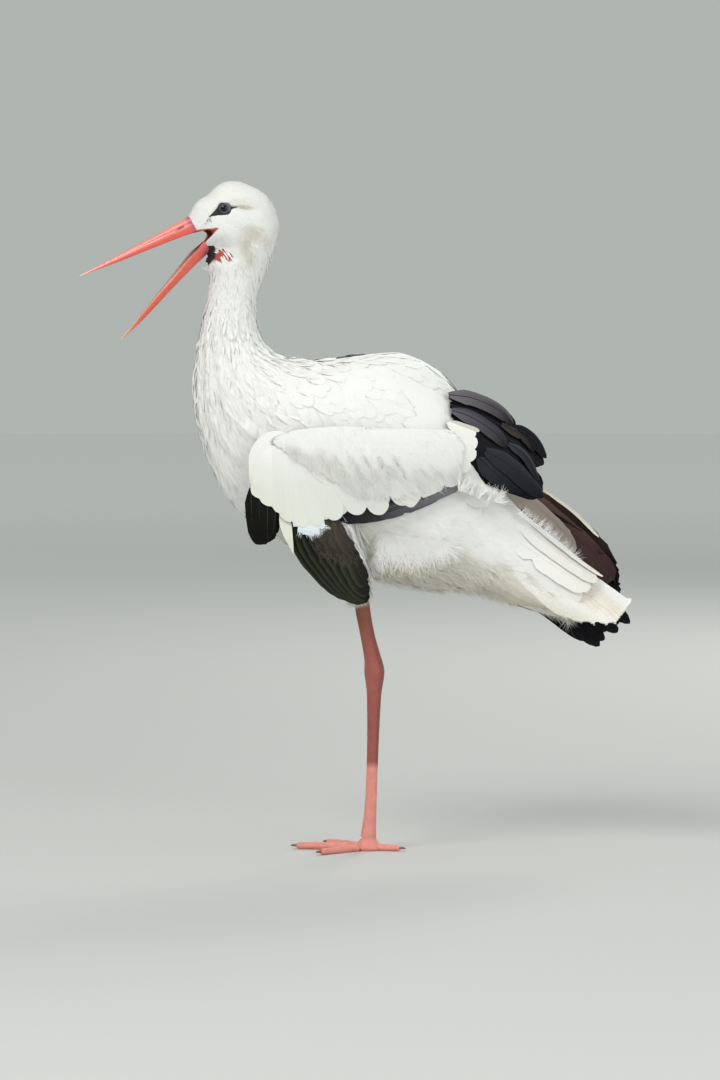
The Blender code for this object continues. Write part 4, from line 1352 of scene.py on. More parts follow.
SECONDARIES_LEFT = (
    [(-0.040, 0.500), (0.010, 0.505), (0.055, 0.520), (0.105, 0.535)],
    [(-0.052, 0.438), (0.004, 0.443), (0.056, 0.457), (0.115, 0.482)],
)
ALULA_LEFT = (
    [(-0.122, 0.478), (-0.120, 0.452), (-0.123, 0.432), (-0.127, 0.413)],
    [(-0.160, 0.486), (-0.160, 0.456), (-0.156, 0.428), (-0.146, 0.411)],
)
TERTIALS_LEFT = (
    [(0.098, 0.616), (0.135, 0.607), (0.172, 0.587), (0.204, 0.558), (0.228, 0.522)],
    [(0.112, 0.520), (0.139, 0.500), (0.168, 0.488), (0.200, 0.478), (0.226, 0.470)],
)
TERTIALS_RIGHT = (
    [(0.100, 0.600), (0.140, 0.586), (0.180, 0.560), (0.214, 0.522)],
    [(0.100, 0.510), (0.135, 0.492), (0.172, 0.478), (0.212, 0.466)],
)
SECONDARIES_RIGHT = (
    [(0.060, 0.520), (0.145, 0.488), (0.224, 0.466), (0.285, 0.421), (0.326, 0.365)],
    [(0.060, 0.430), (0.140, 0.398), (0.215, 0.370), (0.280, 0.345), (0.332, 0.330)],
)
PRIMARIES_RIGHT = (
    [(0.030, 0.450), (0.125, 0.420), (0.215, 0.385), (0.290, 0.345), (0.347, 0.300)],
    [(0.020, 0.420), (0.105, 0.385), (0.185, 0.347), (0.250, 0.304), (0.297, 0.262)],
)

SHADED = (0.70, 0.715, 0.62)  # the smooth lower coverts, a little green in their own shadow
# Painted shade: white feathers in shade, tinted bluish.
BLUISH_PAINTED_SHADE = (0.80, 0.83, 0.86)  # the soft patch below the lowered wing
SILK_ROWS = 26
HOLLOWS = [(-0.066 + 0.0190 * i + 0.0080 * row, 0.5245 - 0.0115 * row - 0.0006 * i)
           for row in range(2) for i in range(6)]


def hollow(x, z):
    """From 0 to 1 in the small shaded dips between the median coverts."""
    return sum(bump(x - 0.4 * (cz - z), z, cx, cz, 0.0040, 0.0055) for cx, cz in HOLLOWS)


def lie_angle(u):
    """The way the coverts run, in degrees from +X, at share u of the way to the rear."""
    return np.interp(u, (0, 0.12, 0.3, 0.5, 0.75, 1), (-104, -94, -82, -72, -62, -50))


def covert_strokes(sheet, tip, reach, angle, rows):
    """Paths that end at the tips."""
    x, z = np.transpose(tip) - np.array((np.cos(angle), np.sin(angle))).reshape(2, -1) * reach
    return sheet.strokes(x, z, reach, angle, rng.normal(0, 0.05, len(x)), rows)


def covert_band(name, side, edges, silk, replaced):
    """The white band over a wing: two rows of long smooth coverts, and silky ones above."""
    sheet = Sheet(replaced, side, inset=0.0025 if side == LEFT else 0.0)
    coat = Coat(name, (replaced,))
    for count, up, out in ((12, 0.005, -0.0010), (13, 0.0, 0.0004)):
        u = (np.arange(count) + 0.5 + rng.uniform(-0.10, 0.10, count)) / count
        top, tip = along(edges[0], u), along(edges[1], u)
        angle = np.radians(lie_angle(u) + rng.normal(0, 1.0, count))
        tip = tip - np.stack((np.cos(angle), np.sin(angle)), axis=-1) * up
        room = (top[:, 1] - tip[:, 1]) / np.maximum(-np.sin(angle), 0.4) * 0.9
        paths, normals = covert_strokes(sheet, tip, room, angle, 20)
        t = np.linspace(0, 1, 20)[None, :]
        lift = 0.0004 - 0.0016 * (1 - t) + out
        base = np.array(SNOW) * (1 + rng.normal(0, 0.012, count))[:, None]
        under = mix(base, SHADED, np.interp(u, (0.1, 0.3, 0.7, 1), (0.9, 0.9, 0.5, 0.15)))
        wide = np.interp(u, (0.02, 0.15), (0.0085, 0.0152)) * rng.uniform(0.95, 1.08, count)
        coat.vanes(paths, normals, wide, (base, under), "blunt", 11, 0.05, 0.03, 0.94,
                   sway=side * 0.02, lift=lift)
    for level in np.linspace(1.0, 0.015, SILK_ROWS):
        count = 100
        u = 0.015 + 0.985 * (np.arange(count) + rng.uniform(0, 1, count)) / count
        share = level + rng.normal(0, 0.020 + 0.05 * ramp(u, 0.45, 0.10), count) * (level > 0.05)
        top, low = along(edges[0], u), along(silk, u)
        tip = top + (low - top) * share[:, None]
        angle = np.radians(lie_angle(u) + rng.normal(0, 4.0, count))
        reach = (0.015 + 0.021 * level) * rng.uniform(0.9, 1.15, count)
        paths, normals = covert_strokes(sheet, tip, reach, angle, 8)
        t = np.linspace(0, 1, 8)[None, :]
        dip = hollow(paths[..., 0], paths[..., 2]) * (side == LEFT)
        over = np.maximum(paths[..., 2] - top[:, 1][:, None] + 0.004, 0)
        ripple = np.sin(paths[..., 0] * 520 + 2 * np.sin(paths[..., 2] * 90))
        lift = 0.0014 - 0.0005 * (1 - t) - 0.0004 * level - 0.0020 * dip + 0.0003 * ripple
        lift = lift - 1.1 * over - 0.0004 * ramp(u, 0.25, 0.05)[:, None]
        lift = lift + np.abs(rng.normal(0, 0.0001, count))[:, None] * t**2
        paths[..., 2] -= 0.55 * over
        base = np.array(SNOW) * (1 + rng.normal(0, 0.014, count))[:, None]
        # Painted shade: the feathers in the dips are darkened olive.
        base = mix(base, (0.40, 0.40, 0.28), np.clip(0.8 * dip[:, 4], 0, 0.8))
        base = mix(base, SHADED, 0.45 * ramp(share, 0.45, 0.9) * ramp(u, 1.0, 0.7))
        wide = (0.0016 + 0.0017 * level) * rng.uniform(0.9, 1.1, count)
        coat.vanes(paths, normals, wide, base, "soft", 3, 0.06, 0.3, 0.95, lift=lift)
        if level > 0.6:
            loose = (u > 0.25) & (rng.uniform(0, 1, count) < 0.30 * level)
            raised = paths + normals * (lift + 0.0003)[..., None]
            fringe(coat, raised[loose], normals[loose], wide[loose], 9, 0.008, SNOW, 0.35, width=0.0002)
    return coat, sheet


def round_wrist(coat, sheet, centre):
    """Feathers that bend round the front corner of a wing and hang down from it."""
    for radius, tone in ((0.0345, 0.45), (0.0260, 0.30), (0.0175, 0.15)):
        turn = np.linspace(64, 250, 30)
        bend = np.radians(np.minimum(turn, 180))
        drop = np.maximum(turn - 180, 0)
        x = centre[0] + radius * np.cos(bend) + 0.000035 * drop
        z = centre[1] + radius * np.sin(bend) - 0.00052 * drop
        points, normals = sheet.lay(x, z, 0.0)
        coat.vanes(points[None], normals[None], 0.0080, (SNOW, mix(SNOW, SHADED, tone)), "blunt",
                   9, 0.06, 0.04, 0.94, lift=np.linspace(-0.0022, -0.0006, 30))


# Painted sheen on the black feathers, lilac and steel.
LILAC_PAINTED_SHEEN = (0.120, 0.112, 0.132)
STEEL_PAINTED_SHEEN = (0.034, 0.036, 0.048)
INK = (0.0035, 0.0035, 0.0055)
# Painted sheen, grey, on the black feathers' undersides.
GREY_PAINTED_SHEEN = (0.20, 0.19, 0.20)
# The paler lilac, steel, slate and grey roots and edges of these feathers are painted sheen.
TERTIAL_FEATHERS = [
    ([(0.1150, 0.5700), (0.1420, 0.5400), (0.1500, 0.5080)], 0.0165, -0.0010, (INK, INK), None),
    ([(0.1382, 0.5240), (0.1646, 0.5000), (0.1998, 0.4790)], 0.0130, 0.0010, (STEEL_PAINTED_SHEEN, INK),
     (STEEL_PAINTED_SHEEN, 0.5)),
    ([(0.1470, 0.5328), (0.1756, 0.5152), (0.1998, 0.4932), (0.2240, 0.4712)], 0.0125, 0.0022,
     (SLATE, INK), (STEEL_PAINTED_SHEEN, 0.6)),
    ([(0.1778, 0.5416), (0.1998, 0.5240), (0.2174, 0.4932)], 0.0065, 0.0030, (STEEL_PAINTED_SHEEN, SOOT),
     (LILAC_PAINTED_SHEEN, 0.4)),
    ([(0.1822, 0.5636), (0.2086, 0.5482), (0.2284, 0.5218)], 0.0100, 0.0034, (SOOT, SOOT),
     (SLATE, 0.5)),
    ([(0.1690, 0.5668), (0.1998, 0.5482), (0.2120, 0.5310)], 0.0075, 0.0040, ((0.05, 0.04, 0.035), SOOT),
     ((0.10, 0.08, 0.065), 0.8)),
    ([(0.1040, 0.5856), (0.1316, 0.5746), (0.1602, 0.5548), (0.1756, 0.5372)], 0.0110, 0.0048,
     (LILAC_PAINTED_SHEEN, INK), (STEEL_PAINTED_SHEEN, 0.6)),
    ([(0.1000, 0.6056), (0.1316, 0.6000), (0.1646, 0.5846), (0.1840, 0.5660)], 0.0115, 0.0058,
     ((0.17, 0.155, 0.170), INK), ((0.15, 0.14, 0.155), 0.7)),
]


def make_left_coverts():
    """The lowered wing's coverts, with the few single feathers at its rear, below and on top."""
    coat, sheet = covert_band("coverts_left_coat", LEFT, COVERTS_LEFT, SILK_LEFT, "coverts_left")
    rear = [(0.1400, 0.5595), (0.1350, 0.5540), (0.1360, 0.5385), (0.1335, 0.5220), (0.1270, 0.5070)]
    paths, normals = covert_strokes(sheet, rear, 0.042, np.radians([-20, -24, -32, -44, -54]), 14)
    tint = mix(SNOW, CREAM, (0.8, 0.30, 0.2, 0.15, 0.1))
    # The first is cream, and darkened by a quarter as painted shade.
    tint[0] = tint[0] * 0.75
    coat.vanes(paths, normals, np.array([3.5, 9.0, 10, 10, 9.5]) * 0.001, tint, "blunt", 9,
               0.08, 0.06, 0.85, lift=-0.0022)
    round_wrist(coat, sheet, (-0.1185, 0.5200))
    sliver, normals = covert_strokes(sheet, [(-0.1035, 0.3985)], 0.068, np.radians(-77), 14)
    coat.vanes(sliver, normals, 0.0085, SHADED, "point", 5, 0.1, 0.05, 0.8, lift=-0.0030)
    # The patch's bluish colours, at root and tip, are painted shade on white feathers.
    patch = [(-0.090, 0.428), (-0.083, 0.424), (-0.076, 0.4235), (-0.069, 0.426), (-0.062, 0.430)]
    paths, normals = covert_strokes(sheet, patch, 0.030, np.radians([-62, -60, -57, -55, -52]), 10)
    coat.vanes(paths, normals, 0.0062, (BLUISH_PAINTED_SHADE, (0.74, 0.79, 0.83)), "round", 7, 0.1, 0.5, 0.8,
               lift=0.0002, notch=0.12)
    fringe(coat, paths, normals, 0.006, 16, 0.006, BLUISH_PAINTED_SHADE, 0.4, first=0.8)
    curl, normals = sheet.strokes(-0.0785, 0.5115, 0.024, np.radians(-76), 0.75, 12)
    coat.vanes(curl, normals, 0.0013, (SNOW, CREAM), "soft", 5, 0.5, 0.1, 0.6, lift=0.0012)
    coat.make()


def make_left_flight():
    """The lowered wing's primaries, long and short, its secondaries and its alula."""
    black = Coat("flight_left", ("primaries_left", "secondaries_left", "alula_left"), "black_plumage")
    shares = np.array([0.96, 0.84, 0.71, 0.58, 0.44, 0.29, 0.14])
    grey = np.clip(1.5 - shares * 2.6, 0, 1)
    tint = (mix((0.004, 0.0045, 0.0025), (0.022, 0.019, 0.015), grey),
            mix((0.003, 0.0035, 0.002), (0.010, 0.009, 0.007), grey))
    # The greenish edge given to each primary is a painted sheen.
    ground = fanned(black, "primaries_left", LEFT, PRIMARIES_LEFT, shares,
                    (0.92, 1.00, 1.01, 1.00, 0.98, 0.92, 0.80), 24, np.linspace(-0.0026, 0.0010, 7),
                    np.linspace(0.0085, 0.0120, 7), tint, sway=-0.20, notch=0.02,
                    rim=((0.048, 0.054, 0.030), -0.75))
    paths, normals = fan(ground, PRIMARIES_LEFT, (0.52, 0.38, 0.24, 0.10), 0.0,
                         (0.40, 0.50, 0.52, 0.50), 16, (0.0012, 0.0016, 0.0020, 0.0024))
    quills(black, paths, normals, 0.0085, ((0.060, 0.047, 0.036), (0.012, 0.011, 0.008)), sway=-0.16,
           notch=0.06, ragged=0.5, rim=((0.060, 0.054, 0.036), -0.6))
    fringe(black, paths, normals, 0.008, 60, 0.009, (0.10, 0.088, 0.062), 0.5, first=0.2, width=0.0002)

    ground = Sheet("secondaries_left", LEFT)
    for share, start, end, lift in ((0.88, 0.0, 0.62, 0.0), (0.87, 0.25, 0.86, 0.0006),
                                    (0.83, 0.45, 1.02, 0.0012), (0.70, 0.10, 0.75, -0.0005),
                                    (0.68, 0.40, 1.00, 0.0002), (0.50, 0.1, 0.9, -0.001)):
        paths, normals = fan(ground, SECONDARIES_LEFT, [share], [start], [end], 18, [lift])
        # Painted sheen: lilac toward the roots, and grey toward the tips and edges.
        tint = (mix(SOOT, LILAC_PAINTED_SHEEN, start * 1.6), mix(SLATE, GREY_PAINTED_SHEEN, end**3))
        quills(black, paths, normals, 0.0095, tint, sway=-0.10, rim=(GREY_PAINTED_SHEEN, 0.45 * end))

    fanned(black, "alula_left", LEFT, ALULA_LEFT, (0.92, 0.66, 0.40, 0.16), (1.0, 1.0, 0.96, 0.80),
           16, (-0.001, 0.0, 0.0008, 0.0014), (0.0085, 0.0105, 0.0105, 0.0085),
           ((0.005, 0.0055, 0.003), (0.003, 0.0035, 0.002)), sway=-0.12, notch=0.0)
    black.make()


def make_left_tertials():
    tertials = Coat("tertials_left_vanes", ("tertials_left",), "black_plumage")
    ground = fanned(tertials, "tertials_left", LEFT, TERTIALS_LEFT,
                    (0.12, 0.24, 0.36, 0.48, 0.60, 0.72, 0.84, 0.93),
                    (0.62, 0.97, 0.92, 0.70, 0.85, 0.97, 0.97, 0.95), 24, -0.002, 0.0135,
                    (INK, INK), sway=-0.14, notch=0.0, ragged=0.02)
    laid(tertials, ground, TERTIAL_FEATHERS, sway=-0.16, columns=11, notch=0.02, camber=0.12, ragged=0.03,
         shape="blade", shaft=(0.012, 0.012, 0.014))
    tertials.make()


# The near faces of the far wing's secondaries, which show past the tail.
SECONDARY_FEATHERS = [
    ([(0.1600, 0.4740), (0.2086, 0.4570), (0.2526, 0.4240), (0.2856, 0.3950), (0.3230, 0.3540)],
     0.0185, -0.0065, ((0.210, 0.135, 0.108), (0.050, 0.028, 0.030)), None),
    ([(0.2290, 0.4750), (0.2670, 0.4475), (0.3020, 0.4130)], 0.0022, -0.0085, (CREAM, CREAM), None),
    ([(0.1560, 0.4830), (0.1954, 0.4670), (0.2306, 0.4390), (0.2526, 0.4170), (0.2690, 0.3920)],
     0.0120, -0.0110, ((0.42, 0.35, 0.30), (0.54, 0.47, 0.41)), ((0.62, 0.55, 0.48), -0.5)),
]


def make_right_wing():
    """The folded wing: coverts, primaries, tertials, and secondaries in brown."""
    coat, sheet = covert_band("coverts_right_coat", RIGHT, COVERTS_RIGHT, SILK_RIGHT, "coverts_right")
    round_wrist(coat, sheet, (-0.1370, 0.5200))
    coat.make()
    black = Coat("flight_right", ("primaries_right", "tertials_right"), "black_plumage")
    fanned(black, "primaries_right", RIGHT, PRIMARIES_RIGHT, (0.06, 0.22, 0.38, 0.54, 0.70, 0.86, 0.97),
           (1.0, 0.97, 1.0, 0.96, 0.99, 1.0, 0.93), 26, np.linspace(0.001, -0.003, 7), 0.0125,
           (INK, INK), sway=0.12, notch=0.0, ragged=0.03)
    fanned(black, "tertials_right", RIGHT, TERTIALS_RIGHT, (0.10, 0.25, 0.40, 0.55, 0.70, 0.85, 0.95),
           (0.90, 1.0, 0.85, 0.97, 0.90, 1.0, 0.8), 22, np.array([4, 0, 3, 1, 4, 0, 2]) * 0.001,
           0.0125, (SOOT, INK), sway=0.14)
    black.make()

    brown = Coat("secondaries_right_vanes", ("secondaries_right",), "brown_plumage")
    tint = (mix(UMBER, (0.15, 0.10, 0.08), rng.uniform(0, 1, 5)),
            mix(SOOT, (0.035, 0.024, 0.024), rng.uniform(0, 1, 5)))
    ground = fanned(brown, "secondaries_right", RIGHT, SECONDARIES_RIGHT,
                    (0.10, 0.30, 0.52, 0.72, 0.90), (0.98, 1.0, 0.96, 1.0, 0.94), 26,
                    (-0.001, -0.0035, 0.0, 0.001, -0.001), (0.017, 0.019, 0.019, 0.017, 0.015), tint,
                    sway=0.10, columns=11)
    laid(brown, ground, SECONDARY_FEATHERS, columns=11, notch=0.0, shaft=(0.22, 0.16, 0.13), soft=0.5)
    brown.make()


# ---- Eyes ----

PUPIL, IRIS = math.radians(25), math.radians(47)
# The blue in the pupil and iris is painted reflection of the sky; their darkness and grey are their own.
PUPIL_PAINTED_SKY_BLUE = np.array((0.0035, 0.0045, 0.011))
IRIS_GREY = np.array((0.045, 0.048, 0.066))
# A painted highlight on one side of the eyelids' rim.
LID_PAINTED_HIGHLIGHT = (0.42, 0.43, 0.47)
# Tilt of each row from the way the eye looks, in degrees, and height over the ball, in metres.
LID_ROWS = [
    (47, -0.0004), (47.5, 0.0004), (49, 0.00085), (52, 0.00115), (56, 0.0010), (59, 0.0006),
    (63, 0.0008), (68, 0.0004), (75, -0.0006), (84, -0.0022),
]


def eye_frame(side):
    """The eye's centre, the way it looks, forward and up."""
    centre = turned(EYE[0], side * EYE[1], EYE[2], HEAD_TURN)
    ahead = turned(TURN_AXIS_X - 0.20, side, 0.06, HEAD_TURN)
    out = unit(ahead - turned(TURN_AXIS_X, 0, 0, HEAD_TURN))
    up = unit(np.array((0, 0, 1.0)) - out * out[2])
    return centre, out, np.cross(up, out) * side, up


def make_eyes():
    lens = horn("eye_lens", 0.09, 60.0, 0.05, 0.0, 0.00001, specular=0.28)
    lid_stuff = horn("lid_skin", 0.45, 1500.0, 0.30, 0.15, 0.0003)
    for name, side in SIDES:
        centre, out, fore, up = eye_frame(side)
        around = 96
        spin = np.arange(around) / around * math.tau
        ring = fore * np.cos(spin)[:, None] + up * np.sin(spin)[:, None]
        tilts = np.concatenate((np.linspace(0.004, 1.0, 40), np.linspace(1.05, math.pi - 0.01, 22)))
        points, colours = [], []
        streaks = 0.10 * np.sin(spin * 37 + 1.3) + 0.08 * np.sin(spin * 61)
        for tilt in tilts:
            radius = EYE_RADIUS * (1 + 0.05 * (1 - ramp(tilt, 0.35, 0.85)))
            points.append(centre + radius * (out * math.cos(tilt) + ring * math.sin(tilt)))
            in_iris = ramp(tilt, PUPIL - 0.02, PUPIL + 0.03)
            outer = ramp(tilt, IRIS - 0.10, IRIS)
            grey = IRIS_GREY * (1 + streaks * 1.2)[:, None]
            # The outer iris is lighter all round, and lighter still on one side as painted light.
            ring_and_painted_light = 1.2 + 2.2 * ramp(np.cos(spin - 3.9), -0.2, 0.9)[:, None]
            grey = grey * (1 + ring_and_painted_light * ramp(tilt, 0.56, 0.72))
            colour = PUPIL_PAINTED_SKY_BLUE * (1 - in_iris) + grey * in_iris
            colours.append(colour * (1 - outer) + np.array(SKIN_BLACK) * 0.6 * outer)
        faces = grid_faces(len(tilts), around, closed=True)
        tinted(f"eyeball_{name}", lens, points, faces, colours, (f"eye_{name}",))
        points, colours = [], []
        corner = np.abs(np.cos(spin)) ** 3
        upper = ramp(np.sin(spin), -0.2, 0.7)
        for degrees, height in LID_ROWS:
            tilt = np.radians(degrees + 4.0 * corner * (degrees < 60) - 2.0 * upper * (degrees < 58))
            wrinkle = 0.00018 * np.sin(spin * 21 + degrees) * (degrees > 50)
            radius = EYE_RADIUS + height + wrinkle
            way = out * np.cos(tilt)[:, None] + ring * np.sin(tilt)[:, None]
            points.append(centre + way * radius[:, None])
            # Painted highlight along the rim, on one side only.
            rim = math.exp(-(((degrees - 51) / 2.5) ** 2)) * ramp(np.cos(spin - 2.5), 0.2, 0.9)
            colours.append(mix(SKIN_BLACK, LID_PAINTED_HIGHLIGHT, rim))
        tinted(f"lids_{name}", lid_stuff, points, grid_faces(len(LID_ROWS), around),
               colours)


# ---- Bill ----
# X and Z of the upper edge, X and Z of the lower edge, half width, as in the solids.

UPPER_BILL = [
    (-0.2437, 0.8368, -0.2330, 0.8170, 0.0124),
    (-0.2620, 0.8268, -0.2540, 0.8100, 0.0116),
    (-0.2950, 0.8090, -0.2900, 0.7960, 0.0098),
    (-0.3330, 0.7885, -0.3300, 0.7800, 0.0068),
    (-0.3650, 0.7712, -0.3640, 0.7672, 0.0036),
    (-0.3845, 0.7606, -0.3845, 0.7594, 0.0008),
]
LOWER_BILL = [
    (-0.2255, 0.8015, -0.2168, 0.7890, 0.0124),
    (-0.2420, 0.7862, -0.2335, 0.7730, 0.0118),
    (-0.2700, 0.7515, -0.2618, 0.7445, 0.0096),
    (-0.2980, 0.7170, -0.2918, 0.7126, 0.0068),
    (-0.3180, 0.6925, -0.3146, 0.6901, 0.0040),
    (-0.3315, 0.6770, -0.3306, 0.6763, 0.0010),
]
BILL_RED = (0.70, 0.100, 0.075)
BILL_PINK = (0.78, 0.265, 0.240)
BILL_PALE = (0.78, 0.46, 0.32)
BILL_MAUVE = (0.50, 0.085, 0.135)
BILL_WARM = (0.76, 0.15, 0.085)
BILL_TIP = (0.62, 0.60, 0.48)
BILL_INSIDE = (0.30, 0.028, 0.022)
NOSTRIL_DARK = (0.06, 0.02, 0.02)
WEB_DARK, WEB_RED = (0.110, 0.026, 0.016), (0.30, 0.062, 0.036)
BILL_ROWS = 90

# Half of a section of each part, as width and height shares: 1 is the ridge, -1 the lower edge.
UPPER_HALF = [(0, 1.0), (0.30, 0.95), (0.55, 0.77), (0.74, 0.48), (0.80, 0.25), (0.88, 0.02),
              (0.97, -0.35), (1.0, -0.70), (0.95, -0.95), (0.86, -1.0), (0.72, -0.90),
              (0.45, -0.74), (0.16, -0.70), (0, -0.80)]
LOWER_HALF = [(0, -1.0), (0.34, -0.95), (0.62, -0.74), (0.84, -0.30), (0.97, 0.30), (1.0, 0.80),
              (0.96, 1.0), (0.88, 0.98), (0.80, 0.70), (0.66, 0.25), (0.40, -0.12), (0, -0.28)]


def bill_part(stations, half_section):
    """Points of a bill part, row by row from its base, the shares along it, the half widths
    there, and the shares of width and height round it."""
    t = np.linspace(-0.05, 1, BILL_ROWS)
    table = along(stations, t)
    slope = (along(stations, [0.02]) - along(stations, [0.0])) / 0.02
    table = table + np.minimum(t, 0)[:, None] * slope
    section = along(half_section, np.linspace(0, 1, 33))
    section = np.vstack((section, section[-2:0:-1] * (-1, 1)))
    wide, high = section[:, 0], section[:, 1]
    top, low = table[:, None, 0:2], table[:, None, 2:4]
    edges = (top + low) / 2 + (top - low) / 2 * high[:, None]
    half = table[:, 4:5]
    points = np.stack((edges[..., 0], half * wide, edges[..., 1]), axis=-1)
    return points, np.maximum(t, 0)[:, None], half, wide, high


def show_bill(name, stuff, points, colour, replaced):
    points = turn_head(points)
    faces = grid_faces(*points.shape[:2], closed=True)
    tinted(name, stuff, points, faces, colour, (replaced,))


def make_upper_bill(stuff):
    points, t, _, wide, high = bill_part(UPPER_BILL, UPPER_HALF)
    outer = (np.abs(wide) > 0.5) & (high > -0.9)
    groove = np.exp(-(((high - 0.22) / 0.13) ** 2)) * outer * ramp(t, 0.52, 0.08)
    nostril = np.exp(-(((t - 0.145) / 0.045) ** 4)) * np.exp(-(((high - 0.16) / 0.075) ** 2)) * outer
    points[..., 1] -= np.sign(wide) * (0.0007 * groove + 0.0021 * nostril)
    lines = 0.00012 * np.sin(high * 26) * ramp(t, 0.0, 0.2) * outer * (1 - t)
    points[..., 1] += np.sign(wide) * lines
    base = np.exp(-((t / 0.035) ** 2))
    inside = (np.abs(wide) < 0.86) & (high < -0.5)
    colour = np.broadcast_to(BILL_RED, points.shape)
    colour = layered(
        colour,
        (BILL_PINK, 0.6 * ramp(high, -0.6, 0.3)),
        (BILL_PALE, 0.30 * ramp(high, 0.1, 0.9)),
        (BILL_PALE, 0.85 * ramp(t, 0.72, 1.0)),
        (BILL_TIP, ramp(t, 0.955, 1.0)),
        (BILL_INSIDE, 0.8 * inside * ramp(t, 0.85, 0.3)),
        (BILL_MAUVE, 0.9 * base),
        (NOSTRIL_DARK, 0.9 * nostril),
    )
    show_bill("bill_upper_horn", stuff, points, colour, "bill_upper")


def make_lower_bill(stuff):
    """The lower half of the bill, whose near edge rolls outward toward the base."""
    points, t, half, wide, high = bill_part(LOWER_BILL, LOWER_HALF)
    place = np.arange(len(wide))
    inner = (place > 18) & (place < len(wide) - 18)
    roll = ramp(t, 0.0, 0.08) * ramp(t, 0.55, 0.30) * half / half.max()
    points[..., 2] -= 0.0036 * roll * np.clip(-wide * 1.5, 0, 1) * ramp(high, 0.0, 0.9)
    base = np.exp(-((t / 0.075) ** 2))
    edge = ramp(high, 0.55, 1.0)
    colour = np.broadcast_to(BILL_RED, points.shape)
    colour = layered(
        colour,
        (BILL_PALE, 0.75 * edge * ramp(t, 0.1, 0.4)),
        (BILL_WARM, 0.5 * (1 - edge)),
        (BILL_PALE, 0.8 * ramp(t, 0.62, 1.0)),
        (BILL_TIP, ramp(t, 0.95, 1.0)),
        (BILL_MAUVE, 0.75 * base * (1 - ramp(high, 0.3, 0.8))),
        (BILL_INSIDE, 0.9 * inner * ramp(t, 0.95, 0.5)),
    )
    show_bill("bill_lower_horn", stuff, points, colour, "bill_lower")


def make_bill():
    stuff = horn("bill_horn", 0.34, 55.0, 0.10, 0.25, 0.00025, (1.0, 3.0, 3.0))
    make_upper_bill(stuff)
    make_lower_bill(stuff)


def make_mouth():
    """The lining of the open mouth: a palate above and a floor below."""
    stuff = horn("mouth_lining", 0.42, 120.0, 0.25, 0.15, 0.0004, specular=0.25)
    for name, tilt, sign, reach in (("palate", UPPER_TILT, -1, 0.030), ("mouth_floor", LOWER_TILT, 1, 0.016)):
        ahead = np.array((-math.cos(tilt), 0, -math.sin(tilt)))
        above = np.array((-ahead[2], 0, ahead[0])) * -sign
        rows, columns = 14, 17
        t, u = np.meshgrid(np.linspace(0, 1, rows), np.linspace(-1, 1, columns), indexing="ij")
        half = 0.0050 + 0.0085 * np.sin(math.pi / 2 * np.minimum(1, t * 1.6)) ** 0.8
        corner = np.array((GAPE[0] - 0.0012, 0, GAPE[1]))
        rise = 0.0016 * (1 - u**2) * np.sin(math.pi * np.minimum(t + 0.15, 1)) + 0.00035 * np.sin(t * 34)
        points = corner + ahead * (t * reach)[..., None] - above * (0.0004 + 0.5 * rise)[..., None]
        points[..., 1] = half * u
        points = turn_head(points)
        colour = mix(np.broadcast_to(MOUTH_RED, points.shape), BILL_INSIDE, ramp(t, 0.1, 1.0))
        tinted(name, stuff, points, grid_faces(rows, columns, wrap=False), colour)
    return stuff


def make_mouth_web(stuff):
    """The dark wall of skin that closes the back of the open mouth."""
    rows, columns = 12, 9
    t, v = np.meshgrid(np.linspace(0, 1, rows), np.linspace(0, 1, columns), indexing="ij")
    reach = 0.0170 - 0.0035 * np.sin(math.pi * v)
    tilt = np.radians(11.0 + 39.0 * v)
    x = GAPE[0] + 0.0010 - np.cos(tilt) * reach * t
    z = GAPE[1] - np.sin(tilt) * reach * t
    y = 0.0050 + 0.0020 * np.sin(math.pi * v)
    points = turned(x, y, z, HEAD_TURN)
    colour = mix(WEB_DARK, WEB_RED, t * 0.8)
    tinted("mouth_web", stuff, points, grid_faces(rows, columns, wrap=False), colour)


def make_face_details():
    """Bare dark creases before the eyes, and the pointed tuft under the chin."""
    coat = Coat("face_details")
    marks = [((-0.2243, 0.8287), (-0.2204, 0.8359)), ((-0.2204, 0.8353), (-0.2155, 0.8298)),
             ((-0.2186, 0.8352), (-0.2165, 0.8378)), ((-0.2262, 0.8262), (-0.2248, 0.8285))]
    for side in (LEFT, RIGHT):
        for start, end in marks:
            t = np.linspace(0, 1, 6)[:, None]
            line = np.array(start) + (np.array(end) - start) * t
            points = turned(line[:, 0], side * 0.030, line[:, 1], HEAD_TURN)
            foot, normal, _, _ = BODY.nearest(points)
            coat.vanes((foot + normal * 0.0013)[None], normal[None], 0.00048, SKIN_BLACK, "soft",
                       2, 0.0, 0.2, 0.9, place=place_of(foot[:1]))
    count = 46
    y = rng.normal(0, 0.0022, count)
    starts = np.stack((rng.uniform(-0.2145, -0.205, count), y, rng.uniform(0.7655, 0.7725, count)), -1)
    ends = np.array((-0.2215, 0.0, 0.7712)) + rng.normal(0, (0.0018, 0.0007, 0.0011), (count, 3))
    paths = turn_head(rays(starts, ends - starts, 1, 6))
    outward = unit(np.stack((np.full(count, -0.3), np.sign(y), np.full(count, -0.2)), axis=-1))
    coat.vanes(paths, outward[:, None], 0.0009, CHIN_WHITE, "soft", 2, 0.0, 0.3, 0.9)
    coat.make()


# ---- Legs and feet ----

LEG_RED = (0.36, 0.098, 0.078)
LEG_PINK = (0.84, 0.310, 0.260)
LEG_PAINTED_SHADE = (0.19, 0.046, 0.036)
LEG_BROWN = (0.20, 0.078, 0.032)
LEG_KNEE = (0.46, 0.135, 0.115)
NAIL_BASE, NAIL_TIP = (0.33, 0.13, 0.095), (0.11, 0.055, 0.042)
TOE_NAMES = ("middle", "inner", "outer", "hind")
FOOT_TOP = 0.02
FLOOR_GAP = 0.00003  # how far the foot's underside stays above the floor


